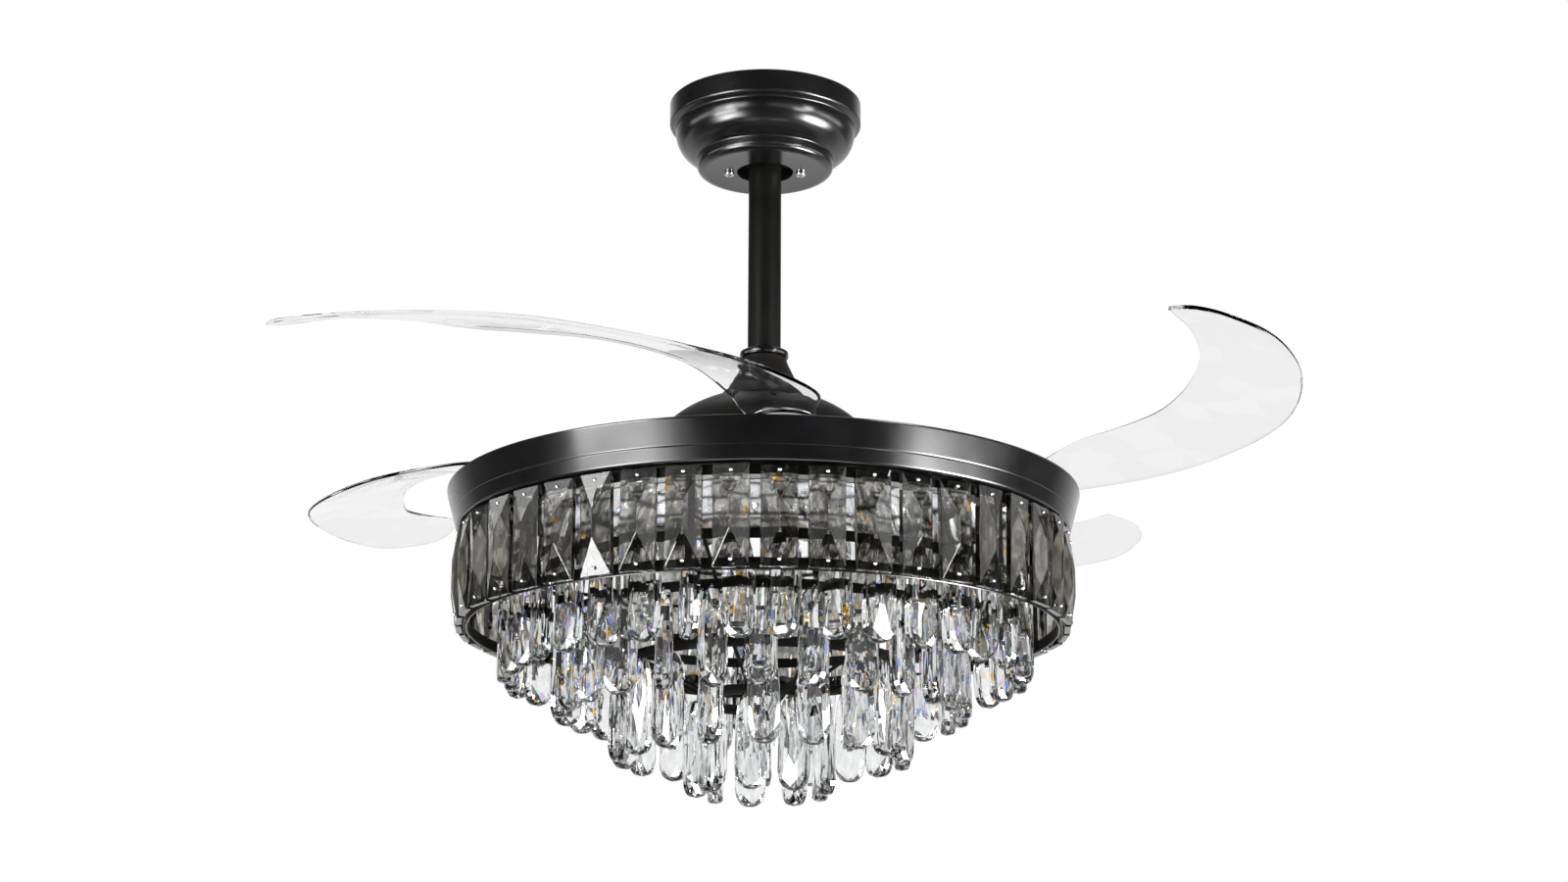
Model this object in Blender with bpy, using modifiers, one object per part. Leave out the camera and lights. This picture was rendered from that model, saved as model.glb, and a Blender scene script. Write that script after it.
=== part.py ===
"""Chandelier ceiling fan with four folding clear blades over a tiered crystal drum.

Lengths are in metres and +Z is up. The origin is on the ceiling, in the middle of the
hanger bracket's top face. Blade 1 points to the right of the front view and is open at
rest; the blades fold clockwise, seen from above, until they lie inside the drum's rim.
"""
import math

import bmesh
import bpy
from mathutils import Matrix, Vector

# Clearances
fit_gap = 0.0003
overrun = 0.0010
weld_gap = 0.00001

# Facets round a turned piece
rim_steps = 44
wide_steps = 24
round_steps = 20
small_steps = 12
pin_steps = 8

# Ceiling bracket
bracket_length = 0.1000
bracket_width = 0.0400
bracket_sheet = 0.0020
mount_slot_length = 0.0140
mount_slot_width = 0.0060
mount_slot_spread = 0.0760
strap_width = 0.0200
strap_sheet = 0.0025
foot_length = 0.0120

# Ball and its seat
ball_radius = 0.0215
ball_half_height = 0.0150
ball_arcs = 4
ball_drop = 0.0310
seat_radius = 0.0240
seat_top_below_ball = 0.0050
seat_foot_below_ball = 0.0130
cross_pin_radius = 0.0022
cross_pin_length = 0.0390

# Downrod
rod_radius = 0.01335
rod_wall = 0.0020
rod_top_above_ball = 0.0180
rod_length = 0.2315

# Canopy
canopy_radius = 0.0788
canopy_flange_depth = 0.0188
canopy_depth = 0.0560
canopy_floor_radius = 0.0552
canopy_sheet = 0.0012
canopy_hole_radius = 0.0230
canopy_screw_spread = 0.0586
canopy_groove_shares = ((0.847, 0.038), (0.898, 0.086))
canopy_ogee_shares = ((0.730, 0.275), (0.530, 0.597), (0.350, 0.745), (0.110, 0.852), (0.110, 0.919))
canopy_inside_shares = ((0.000, 0.892), (0.440, 0.580), (0.770, 0.050))
screw_radius = 0.0020
screw_head_radius = 0.0040
screw_head_height = 0.0026
screw_shoulder_share = 0.85

# Radio receiver under the edge of the bracket plate
receiver_length = 0.0700
receiver_width = 0.0270
receiver_height = 0.0150
receiver_edge = 0.0020
receiver_offset = 0.0308

# Coupling between the rod and the motor
collar_radius = 0.0196
collar_height = 0.0050
cover_top_radius = 0.0182
cover_foot_radius = 0.0366
cover_height = 0.0346
cover_sheet = 0.0012
cover_flare_shares = ((0.08, 0.14), (0.42, 0.52), (1.00, 1.00))
yoke_radius = 0.0166
yoke_depth = 0.0200
yoke_floor_above_rim = 0.0920
yoke_floor_sheet = 0.0030
bolt_radius = 0.0024
bolt_head_radius = 0.0040
bolt_head_height = 0.0028
bolt_end = 0.0190

# Motor
shaft_radius = 0.0085
shaft_bore_radius = 0.0050
shaft_below_rim = 0.0135
stator_radius = 0.0615
stator_height = 0.0190
winding_radius = 0.0490
winding_height = 0.0300
stator_shoulder_share = 0.33
stator_middle_above_rim = 0.0350
magnet_wall = 0.0060
magnet_height = 0.0260
air_gap = 0.0018
bearing_radius = 0.0190
bearing_height = 0.0080
upper_bearing_above_rim = 0.0723
dome_radius = 0.0950
dome_top_above_rim = 0.0822
dome_mouth_radius = 0.0150
dome_sheet = 0.0016
dome_shares = (
    (0.42, 0.000), (0.57, 0.089), (0.70, 0.190), (0.82, 0.325), (0.92, 0.515), (0.98, 0.720))
vent_count = 12
vent_length = 0.0150
vent_width = 0.0040
vent_radius = 0.0590
base_sheet = 0.0028
base_wall = 0.0032
base_bore_radius = 0.0130
guide_radius = 0.1174
guide_wall = 0.0044
guide_height = 0.0077

# Blade plate and pivots
blade_count = 4
pivot_radius = 0.1700
pivot_angle = math.radians(4.6)
plate_above_rim = 0.0020
plate_sheet = 0.0020
plate_radius = 0.1500
lobe_radius = 0.0270
lobe_steps = 11
arc_steps = 6
post_radius = 0.0050

# Gears that open the blades together
gear_module = 0.0034
hub_teeth = 20
ring_teeth = 80
gear_thickness = 0.0045
tooth_backlash = 0.0007
addendum_share = 0.85
dedendum_share = 1.15
pressure_angle = math.radians(20.0)
fold_angle = math.radians(90.0)
spare_teeth = 1

# Blade hub, return spring, cap
sleeve_radius = 0.0100
seat_disc_radius = 0.0240
seat_disc_sheet = 0.0020
spring_wire_radius = 0.0006
spring_turns = 2
spring_points = 8
spring_room = 0.0065
cap_height = 0.0025
cap_crown_share = 0.82

# Clear blade, its edges as shares of the reach and of the rise from root to tip
blade_reach = 0.3660
blade_rise = 0.0400
blade_sheet = 0.0030
blade_crown = 0.0030
blade_sections = 19
blade_strips = 3
root_end_degrees = (158, 122, 90)
outer_edge_shares = (
    (0.088, 0.062, 0.00), (0.199, 0.049, 0.00), (0.360, -0.075, 0.00), (0.470, -0.230, 0.02),
    (0.545, -0.420, 0.10), (0.557, -0.590, 0.20), (0.510, -0.790, 0.30), (0.418, -0.951, 0.42),
    (0.320, -1.000, 0.62),
    (0.262, -0.990, 0.78), (0.232, -0.940, 0.93))
inner_edge_shares = (
    (0.070, -0.092, 0.00), (0.117, -0.117, 0.14), (0.188, -0.186, 0.42), (0.262, -0.270, 0.50),
    (0.318, -0.380, 0.53), (0.338, -0.500, 0.55), (0.340, -0.620, 0.60), (0.330, -0.720, 0.74),
    (0.290, -0.820, 0.88),
    (0.248, -0.880, 0.97), (0.226, -0.908, 1.00))

# Drum band and its carrier
drum_radius = 0.2500
drum_taper = 0.0085
drum_height = 0.0315
drum_sheet = 0.0016
drum_flange_width = 0.0280
drum_flange_below_rim = 0.0075
drum_lip_width = 0.0155
carrier_radius = 0.0620
carrier_sheet = 0.0020
carrier_arm_width = 0.0220
carrier_arm_inset = 0.0180
carrier_arms = 4
nut_radius = 0.0150
nut_height = 0.0047
nut_sides = 6

# Light
tray_radius_share = 0.712
tray_sheet = 0.0020
tray_below_carrier = 0.0130
standoff_radius = 0.0040
standoff_spread = 0.0450
standoff_count = 3
diffuser_depth = 0.0165
diffuser_shoulder_share = 0.40
diffuser_belly_share = 0.85
diffuser_sheet = 0.0020
driver_length = 0.1000
driver_width = 0.0360
driver_height = 0.0110
driver_edge = 0.0015
driver_offset = 0.1000

# Smoke prisms
prism_count = 44
prism_groups = 11
prism_phase = math.radians(2.7)
prism_length = 0.0751
prism_width = 0.0290
prism_back = 0.0030
prism_edge = 0.0015
prism_front = 0.0062
prism_apex_share = 0.30
prism_inset = 0.0030
rail_height = 0.0020
rail_width = 0.0050
rail_sink = 0.0006
rail_end_share = 0.05

# Black frame that carries the crystals
frame_top_sheet = 0.0030
frame_ring_height = 0.0080
foot_ring_height = 0.0090
foot_ring_sheet = 0.0018
frame_bar_inset = 0.0045
frame_bar_depth = 0.0023
frame_bar_width = 0.0050
frame_steps = 32
rib_count = 6
rib_phase = math.radians(16.9)
rib_radius = 0.0015
rib_edge_share = 0.6
rib_end_share = 0.85
foot_ring_inset = 0.0037

# Crystal tiers: share of the drum's radius, depth of the ring's top below the rim, drops on the ring
tier_sheet = 0.0016
tier_height = 0.0080
tier_radius_shares = (0.80, 0.62, 0.44, 0.20)
tier_depths = (0.0703, 0.0973, 0.1312, 0.1560)
tier_drops = (36, 26, 18, 9)
tier_steps = (24, 24, 18, 12)
drop_length = 0.0750
drop_width = 0.0245
drop_thickness = 0.0135
drop_sink = 0.0017
drop_turn = math.radians(137.5)
drop_outline_shares = ((0.20, 0.00), (0.45, 0.20), (0.50, 0.84), (0.24, 1.00))
drop_table_share = 0.66

# Heights that follow from the sizes above
ball_z = -ball_drop
rod_top = ball_z + rod_top_above_ball
rod_foot = rod_top - rod_length
yoke_floor = rod_foot - fit_gap
rim_z = yoke_floor - yoke_floor_above_rim
plate_foot = rim_z + plate_above_rim
plate_top = plate_foot + plate_sheet
gear_foot = plate_top + fit_gap
gear_top = gear_foot + gear_thickness
seat_disc_foot = gear_top + spring_room
seat_disc_top = seat_disc_foot + seat_disc_sheet
blade_foot = seat_disc_top + fit_gap
cap_foot = blade_foot + blade_sheet + fit_gap
carrier_foot = rim_z - drum_flange_below_rim + fit_gap
carrier_top = carrier_foot + carrier_sheet
tray_top = carrier_foot - tray_below_carrier
diffuser_top = tray_top - tray_sheet - fit_gap
drum_foot = rim_z - drum_height
prism_top = drum_foot - fit_gap
prism_foot = prism_top - rail_height + rail_sink - prism_length

# Radii that follow from the drum's
drum_foot_radius = drum_radius - drum_taper
drum_flange_radius = drum_radius - drum_flange_width
drum_lip_radius = drum_foot_radius - drum_lip_width
carrier_arm_end = drum_radius - carrier_arm_inset
tray_radius = drum_radius * tray_radius_share
prism_middle_radius = drum_foot_radius - prism_inset
frame_top_radius = prism_middle_radius - prism_back
frame_bar_radius = frame_top_radius - frame_bar_inset
foot_ring_radius = frame_top_radius - foot_ring_inset
tier_radii = [drum_radius * share for share in tier_radius_shares]


def make_collection(name):
    collection = bpy.data.collections.new(name)
    bpy.context.scene.collection.children.link(collection)
    return collection


def clear_scene():
    for item in list(bpy.data.objects):
        bpy.data.objects.remove(item, do_unlink=True)
    for collection in list(bpy.data.collections):
        bpy.data.collections.remove(collection)


clear_scene()
parts = make_collection("chandelier_fan")
cutters = make_collection("cutters")


def material(name, colour, roughness, metallic, transmission=0.0):
    finish = bpy.data.materials.new(name)
    finish.use_nodes = True
    shader = finish.node_tree.nodes["Principled BSDF"]
    shader.inputs["Base Color"].default_value = (*colour, 1.0)
    shader.inputs["Roughness"].default_value = roughness
    shader.inputs["Metallic"].default_value = metallic
    shader.inputs["Transmission Weight"].default_value = transmission
    return finish


satin_black = material("satin_black", (0.012, 0.012, 0.013), 0.38, 0.0)
zinc_steel = material("zinc_steel", (0.55, 0.56, 0.58), 0.35, 1.0)
bright_chrome = material("bright_chrome", (0.80, 0.81, 0.83), 0.08, 1.0)
copper_winding = material("copper_winding", (0.60, 0.26, 0.12), 0.40, 1.0)
magnet_grey = material("magnet_grey", (0.10, 0.10, 0.11), 0.50, 1.0)
white_plastic = material("white_plastic", (0.80, 0.80, 0.79), 0.45, 0.0)
black_plastic = material("black_plastic", (0.02, 0.02, 0.02), 0.50, 0.0)
opal_plastic = material("opal_plastic", (0.88, 0.88, 0.86), 0.40, 0.0)
clear_acrylic = material("clear_acrylic", (0.93, 0.94, 0.95), 0.04, 0.0, 0.9)
smoke_glass = material("smoke_glass", (0.16, 0.15, 0.14), 0.03, 0.0, 0.7)
clear_crystal = material("clear_crystal", (0.96, 0.97, 0.98), 0.02, 0.0, 0.95)


def add_object(name, mesh, finish=None):
    item = bpy.data.objects.new(name, mesh)
    if finish is None:
        cutters.objects.link(item)
        item.hide_render = True
        item.display_type = "WIRE"
    else:
        parts.objects.link(item)
        mesh.materials.clear()
        mesh.materials.append(finish)
    return item


def smooth_round(mesh):
    mesh.shade_smooth()
    mesh.set_sharp_from_angle(angle=math.radians(35))


def turned_mesh(name, profile, steps, closed=True):
    """A profile of (radius, height) pairs that runs down its outer side, turned about Z."""
    mesh = bpy.data.meshes.new(name)
    edges = [(i, i + 1) for i in range(len(profile) - 1)]
    if closed:
        edges.append((len(profile) - 1, 0))
    mesh.from_pydata([(radius, 0, height) for radius, height in profile], edges, [])
    guide = add_object(name + "_profile", mesh)
    screw = guide.modifiers.new("turn", "SCREW")
    screw.steps = steps
    screw.render_steps = steps
    screw.use_merge_vertices = True
    screw.merge_threshold = weld_gap
    return evaluated(guide)


def inset(profile, thickness):
    """The profile moved to its inner side, square to the line between each point's neighbours."""
    moved = []
    for i, (radius, height) in enumerate(profile):
        ahead, behind = profile[min(i + 1, len(profile) - 1)], profile[max(i - 1, 0)]
        run = Vector((ahead[0] - behind[0], ahead[1] - behind[1])).normalized()
        moved.append((radius + run.y * thickness, height - run.x * thickness))
    return moved


def evaluated(item):
    """The mesh of an object with its modifiers done; the object itself is removed."""
    bpy.context.view_layer.update()
    graph = bpy.context.evaluated_depsgraph_get()
    mesh = bpy.data.meshes.new_from_object(item.evaluated_get(graph))
    mesh.transform(item.matrix_world)
    mesh.name = item.name
    weld(mesh)
    bpy.data.objects.remove(item, do_unlink=True)
    return mesh


def weld(mesh):
    shape = bmesh.new()
    shape.from_mesh(mesh)
    bmesh.ops.remove_doubles(shape, verts=shape.verts, dist=weld_gap)
    bmesh.ops.recalc_face_normals(shape, faces=shape.faces)
    shape.to_mesh(mesh)
    shape.free()


def box_mesh(name, size, middle):
    shape = bmesh.new()
    bmesh.ops.create_cube(shape, size=1.0, matrix=Matrix.Translation(middle) @ Matrix.Diagonal((*size, 1)))
    return finish_mesh(name, shape)


def rod_mesh(name, radius, start, end, steps=small_steps):
    """A solid round bar between two points."""
    start, end = Vector(start), Vector(end)
    run = end - start
    turn = Vector((0, 0, 1)).rotation_difference(run).to_matrix().to_4x4()
    shape = bmesh.new()
    bmesh.ops.create_cone(shape, cap_ends=True, segments=steps, radius1=radius, radius2=radius,
                          depth=run.length, matrix=Matrix.Translation((start + end) / 2) @ turn)
    return finish_mesh(name, shape)


def finish_mesh(name, shape):
    mesh = bpy.data.meshes.new(name)
    bmesh.ops.recalc_face_normals(shape, faces=shape.faces)
    shape.to_mesh(mesh)
    shape.free()
    return mesh


def ribbon_mesh(name, radius, low, high, steps, thickness, start=0.0, sweep=2 * math.pi):
    """An upright strip bent round Z, with its thickness inward of the radius."""
    shape = bmesh.new()
    foot = shape.verts.new((radius * math.cos(start), radius * math.sin(start), low))
    head = shape.verts.new((radius * math.cos(start), radius * math.sin(start), high))
    edge = shape.edges.new((foot, head))
    bmesh.ops.spin(shape, geom=[foot, head, edge], cent=(0, 0, 0), axis=(0, 0, 1), angle=sweep, steps=steps)
    bmesh.ops.remove_doubles(shape, verts=shape.verts, dist=weld_gap)
    for face in shape.faces:
        face.normal_update()
        if face.normal.dot(face.calc_center_median() * Vector((1, 1, 0))) < 0:
            face.normal_flip()
    mesh = bpy.data.meshes.new(name)
    shape.to_mesh(mesh)
    shape.free()
    guide = add_object(name, mesh)
    shell = guide.modifiers.new("sheet", "SOLIDIFY")
    shell.thickness = thickness
    shell.offset = -1.0
    return evaluated(guide)


def outline_mesh(name, loops, low, thickness):
    """A flat plate from closed outlines in XY; outlines inside the first are holes."""
    curve = bpy.data.curves.new(name, "CURVE")
    curve.dimensions = "2D"
    curve.fill_mode = "BOTH"
    curve.extrude = thickness / 2
    curve.render_resolution_u = 0
    for loop in loops:
        spline = curve.splines.new("POLY")
        spline.points.add(len(loop) - 1)
        for point, (x, y) in zip(spline.points, loop):
            point.co = (x, y, 0, 1)
        spline.use_cyclic_u = True
    guide = add_object(name, curve)
    guide.location.z = low + thickness / 2
    return evaluated(guide)


def fused(name, meshes):
    """One closed body from meshes that overlap."""
    base = add_object(name, meshes[0])
    operands = []
    for index, mesh in enumerate(meshes[1:]):
        operand = add_object(f"{name}_joined_{index}", mesh)
        union = base.modifiers.new("join", "BOOLEAN")
        union.operation = "UNION"
        union.solver = "EXACT"
        union.object = operand
        operands.append(operand)
    mesh = evaluated(base)
    for operand in operands:
        bpy.data.objects.remove(operand, do_unlink=True)
    return mesh


def joined(name, meshes):
    """Meshes gathered in one mesh, not yet fused."""
    shape = bmesh.new()
    for mesh in meshes:
        shape.from_mesh(mesh)
    return finish_mesh(name, shape)


def cut(item, name, meshes):
    cutter = add_object(name, joined(name, meshes))
    hole = item.modifiers.new(name, "BOOLEAN")
    hole.operation = "DIFFERENCE"
    hole.solver = "EXACT"
    hole.object = cutter


def place(name, mesh, finish, pivot=None, turn=0.0):
    """Add a part; a moving part keeps its origin on its joint's axis."""
    if pivot is not None:
        mesh.transform(Matrix.Translation(-Vector(pivot)))
    smooth_round(mesh)
    item = add_object(name, mesh, finish)
    if pivot is not None:
        item.location = Matrix.Rotation(turn, 3, "Z") @ Vector(pivot)
        item.rotation_euler.z = turn
    return item


def clear_of(radius, steps):
    """Radius of a faceted bore whose flats keep the fitting gap to a round piece."""
    return (radius + fit_gap) / math.cos(math.pi / steps)


def polar(radius, angle):
    return Vector((radius * math.cos(angle), radius * math.sin(angle), 0))


def make_bracket():
    plate = box_mesh("bracket_plate", (bracket_length, bracket_width, bracket_sheet),
                     (0, 0, -bracket_sheet / 2))
    inside = ball_radius + strap_sheet / 2
    outside = inside + strap_sheet
    foot = -canopy_depth + canopy_sheet + fit_gap
    toe = outside + foot_length
    outline = [(-toe, foot), (-inside, foot), (-inside, -bracket_sheet / 2), (inside, -bracket_sheet / 2),
               (inside, foot), (toe, foot), (toe, foot + strap_sheet), (outside, foot + strap_sheet),
               (outside, -bracket_sheet / 4), (-outside, -bracket_sheet / 4),
               (-outside, foot + strap_sheet), (-toe, foot + strap_sheet)]
    strap = outline_mesh("bracket_strap", [outline], -strap_width / 2, strap_width)
    strap.transform(Matrix.Rotation(math.pi / 2, 4, "X"))
    hollow = ball_radius + fit_gap
    drops = [seat_top_below_ball, (seat_top_below_ball + seat_foot_below_ball) / 2, seat_foot_below_ball]
    inner = [(math.sqrt(hollow ** 2 - drop ** 2) / math.cos(math.pi / round_steps), ball_z - drop)
             for drop in drops]
    seat_profile = [(seat_radius, inner[0][1]), (seat_radius, inner[-1][1])] + inner[::-1]
    seat = turned_mesh("bracket_seat", seat_profile, round_steps)
    bracket = place("hanger_bracket", fused("hanger_bracket", [plate, strap, seat]), zinc_steel)
    slots = []
    for side in (-1, 1):
        size = (mount_slot_width, mount_slot_length, bracket_sheet + overrun)
        slots.append(box_mesh("slot", size, (side * mount_slot_spread / 2, 0, -bracket_sheet / 2)))
    cut(bracket, "bracket_slots", slots)
    cut(bracket, "bracket_threads", screw_holes(foot, foot + strap_sheet))


def screw_holes(low, high):
    holes = []
    for side in (-1, 1):
        x = side * canopy_screw_spread / 2
        holes.append(rod_mesh("screw_hole", clear_of(screw_radius, pin_steps), (x, 0, low - overrun),
                              (x, 0, high + overrun), pin_steps))
    return holes


def make_canopy():
    fall = canopy_depth - canopy_flange_depth
    spread = canopy_radius - canopy_floor_radius

    def place_on(shares):
        return [(canopy_floor_radius + spread * out, -canopy_flange_depth - fall * down)
                for out, down in shares]
    floor_top = -canopy_depth + canopy_sheet
    profile = [(canopy_radius, -fit_gap), (canopy_radius, -canopy_flange_depth)]
    profile += place_on(canopy_groove_shares + canopy_ogee_shares)
    profile += [(canopy_floor_radius, -canopy_depth), (canopy_hole_radius, -canopy_depth),
                (canopy_hole_radius, floor_top), (canopy_floor_radius - canopy_sheet, floor_top)]
    profile += place_on(canopy_inside_shares)
    profile += [(canopy_radius - canopy_sheet, -canopy_flange_depth + canopy_sheet),
                (canopy_radius - canopy_sheet, -fit_gap)]
    canopy = place("canopy", turned_mesh("canopy", profile, wide_steps), satin_black)
    cut(canopy, "canopy_screw_holes", screw_holes(-canopy_depth, floor_top))
    for name, side in (("canopy_screw_left", -1), ("canopy_screw_right", 1)):
        head_top = -canopy_depth - fit_gap
        head_foot = head_top - screw_head_height
        shank_top = -canopy_depth + canopy_sheet + strap_sheet + overrun
        profile = [(0, shank_top), (screw_radius, shank_top), (screw_radius, head_top),
                   (screw_head_radius, head_top), (screw_head_radius * screw_shoulder_share,
                   (head_top + head_foot) / 2), (screw_head_radius / 2, head_foot), (0, head_foot)]
        mesh = turned_mesh(name, profile, pin_steps, closed=False)
        mesh.transform(Matrix.Translation((side * canopy_screw_spread / 2, 0, 0)))
        place(name, mesh, bright_chrome)


def make_receiver():
    size = (receiver_length, receiver_width, receiver_height)
    middle = (0, receiver_offset, -bracket_sheet - fit_gap - receiver_height / 2)
    rounded_box("remote_receiver", size, middle, receiver_edge, white_plastic)


def rounded_box(name, size, middle, edge, finish):
    item = place(name, box_mesh(name, size, middle), finish)
    bevel = item.modifiers.new("edges", "BEVEL")
    bevel.width = edge
    bevel.segments = 1
    return item


def make_ball():
    top = ball_half_height
    angles = [math.asin(top / ball_radius) * (1 - 2 * i / ball_arcs) for i in range(ball_arcs + 1)]
    profile = [(ball_radius * math.cos(a), ball_radius * math.sin(a)) for a in angles]
    bore = clear_of(rod_radius, round_steps)
    profile += [(bore, -top), (bore, top)]
    profile = [(radius, height + ball_z) for radius, height in profile]
    ball = place("hanger_ball", turned_mesh("hanger_ball", profile, round_steps), black_plastic,
                 (0, 0, ball_z))
    hole = clear_of(cross_pin_radius, pin_steps)
    cut(ball, "ball_pin_hole", [rod_mesh("hole", hole, (-ball_radius - overrun, 0, ball_z),
                                         (ball_radius + overrun, 0, ball_z), pin_steps)])
    half = cross_pin_length / 2
    pin = rod_mesh("ball_cross_pin", cross_pin_radius, (-half, 0, ball_z), (half, 0, ball_z), pin_steps)
    place("ball_cross_pin", pin, zinc_steel, (0, 0, ball_z))


def make_rod():
    inner = rod_radius - rod_wall
    profile = [(rod_radius, rod_top), (rod_radius, rod_foot), (inner, rod_foot), (inner, rod_top)]
    rod = place("downrod", turned_mesh("downrod", profile, round_steps), satin_black, (0, 0, ball_z))
    reach = rod_radius + overrun
    pin_hole = clear_of(cross_pin_radius, pin_steps)
    bolt_hole = clear_of(bolt_radius, pin_steps)
    holes = [rod_mesh("hole", radius, (-reach, 0, z), (reach, 0, z), pin_steps)
             for radius, z in ((pin_hole, ball_z), (bolt_hole, bolt_z()))]
    cut(rod, "rod_holes", holes)


def bolt_z():
    return yoke_floor + yoke_depth / 2


def make_coupling():
    cover_foot = rim_z + dome_top_above_rim + overrun
    cover_top = cover_foot + cover_height
    collar_foot = cover_top + fit_gap
    bore = clear_of(rod_radius, round_steps)
    profile = [(collar_radius, collar_foot + collar_height), (collar_radius, collar_foot),
               (bore, collar_foot), (bore, collar_foot + collar_height)]
    place("coupling_collar", turned_mesh("coupling_collar", profile, round_steps), satin_black,
          (0, 0, ball_z))
    spread = cover_foot_radius - cover_top_radius
    flare = [(cover_top_radius + spread * out, cover_top - cover_height * down)
             for out, down in cover_flare_shares]
    profile = [(bore, cover_top), (cover_top_radius, cover_top)] + flare
    inside = inset([(cover_top_radius, cover_top)] + flare, cover_sheet)
    profile += [(cover_foot_radius - cover_sheet, cover_foot)] + inside[-2:0:-1]
    profile += [(bore, cover_top - cover_sheet)]
    place("coupling_cover", turned_mesh("coupling_cover", profile, round_steps), satin_black,
          (0, 0, ball_z))
    z = bolt_z()
    profile = [(0, bolt_end), (bolt_radius, bolt_end), (bolt_radius, -yoke_radius - fit_gap),
               (bolt_head_radius, -yoke_radius - fit_gap),
               (bolt_head_radius, -yoke_radius - fit_gap - bolt_head_height),
               (0, -yoke_radius - fit_gap - bolt_head_height)]
    bolt = turned_mesh("yoke_bolt", profile, pin_steps, closed=False)
    bolt.transform(Matrix.Translation((0, 0, z)) @ Matrix.Rotation(math.pi / 2, 4, "Y"))
    place("yoke_bolt", bolt, zinc_steel, (0, 0, ball_z))


def make_shaft():
    foot = rim_z - shaft_below_rim
    cup = clear_of(rod_radius, small_steps)
    neck = yoke_floor - yoke_floor_sheet
    profile = [(yoke_radius, yoke_floor + yoke_depth), (yoke_radius, neck),
               (shaft_radius, neck - (yoke_radius - shaft_radius)), (shaft_radius, foot),
               (shaft_bore_radius, foot), (shaft_bore_radius, yoke_floor), (cup, yoke_floor),
               (cup, yoke_floor + yoke_depth)]
    shaft = place("motor_shaft", turned_mesh("motor_shaft", profile, small_steps), zinc_steel,
                  (0, 0, ball_z))
    reach = yoke_radius + overrun
    hole = clear_of(bolt_radius, pin_steps)
    cut(shaft, "shaft_bolt_hole", [rod_mesh("hole", hole, (-reach, 0, bolt_z()), (reach, 0, bolt_z()),
                                            pin_steps)])


def make_stator():
    middle = rim_z + stator_middle_above_rim
    iron, coil = stator_height / 2, winding_height / 2
    bore = clear_of(shaft_radius, small_steps)
    shoulder = winding_radius + (stator_radius - winding_radius) * stator_shoulder_share
    profile = [(bore, coil), (winding_radius, coil), (shoulder, iron), (stator_radius, iron),
               (stator_radius, -iron), (shoulder, -iron), (winding_radius, -coil), (bore, -coil)]
    profile = [(radius, middle + height) for radius, height in profile]
    place("motor_stator", turned_mesh("motor_stator", profile, small_steps), copper_winding, (0, 0, ball_z))
    inner = clear_of(shaft_radius, small_steps)
    for name, foot in (("upper_bearing", rim_z + upper_bearing_above_rim), ("lower_bearing", lower_seat())):
        profile = [(bearing_radius, foot + bearing_height), (bearing_radius, foot), (inner, foot),
                   (inner, foot + bearing_height)]
        place(name, turned_mesh(name, profile, small_steps), zinc_steel, (0, 0, ball_z))


def lower_seat():
    return plate_top + fit_gap + base_sheet + fit_gap


def make_dome():
    top = rim_z + dome_top_above_rim
    foot = plate_top + fit_gap + guide_height + fit_gap
    drop = top - foot
    outer = [(dome_radius * out, top - drop * down) for out, down in dome_shares] + [(dome_radius, foot)]
    inner = inset(outer[::2], dome_sheet)[::-1]
    profile = [(dome_mouth_radius, top)] + outer + [(dome_radius - dome_sheet, foot)] + inner[1:]
    profile += [(dome_mouth_radius, top - dome_sheet)]
    dome = place("motor_dome", turned_mesh("motor_dome", profile, wide_steps), satin_black,
                 (0, 0, plate_top))
    slots = []
    for k in range(vent_count):
        slot = box_mesh("vent", (vent_length, vent_width, drop), (vent_radius, 0, top))
        slot.transform(Matrix.Rotation(2 * math.pi * (k + 0.25) / vent_count, 4, "Z"))
        slots.append(slot)
    cut(dome, "dome_vents", slots)


def magnet_inner():
    return (stator_radius + air_gap) / math.cos(math.pi / wide_steps)


def make_base():
    foot = plate_top + fit_gap
    floor = foot + base_sheet
    wall_in = clear_of(magnet_inner() + magnet_wall, wide_steps)
    wall_top = magnet_top()
    guide_in = guide_radius - guide_wall
    profile = [(guide_radius, foot + guide_height), (guide_radius, foot), (base_bore_radius, foot),
               (base_bore_radius, floor), (wall_in, floor), (wall_in, wall_top),
               (wall_in + base_wall, wall_top), (wall_in + base_wall, floor), (guide_in, floor),
               (guide_in, foot + guide_height)]
    place("motor_base", turned_mesh("motor_base", profile, wide_steps), satin_black, (0, 0, plate_top))
    outer, foot = magnet_inner() + magnet_wall, wall_top - magnet_height
    ring = [(outer, wall_top), (outer, foot), (magnet_inner(), foot), (magnet_inner(), wall_top)]
    place("magnet_ring", turned_mesh("magnet_ring", ring, wide_steps), magnet_grey, (0, 0, plate_top))


def magnet_top():
    return rim_z + stator_middle_above_rim + magnet_height / 2


def pivot(k):
    return polar(pivot_radius, pivot_angle + 2 * math.pi * k / blade_count)


def plate_outline():
    """The plate's edge: a disc with a round lobe under each pivot."""
    spread = math.acos((plate_radius ** 2 + pivot_radius ** 2 - lobe_radius ** 2)
                       / (2 * plate_radius * pivot_radius))
    reach = math.pi - math.acos((pivot_radius ** 2 + lobe_radius ** 2 - plate_radius ** 2)
                                / (2 * pivot_radius * lobe_radius))
    points = []
    for k in range(blade_count):
        middle = pivot(k)
        angle = math.atan2(middle.y, middle.x)
        for i in range(lobe_steps + 1):
            points.append((middle + polar(lobe_radius, angle + reach * (2 * i / lobe_steps - 1)))[:2])
        gap = 2 * math.pi / blade_count - 2 * spread
        for i in range(1, arc_steps):
            points.append(polar(plate_radius, angle + spread + gap * i / arc_steps)[:2])
    return points


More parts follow.
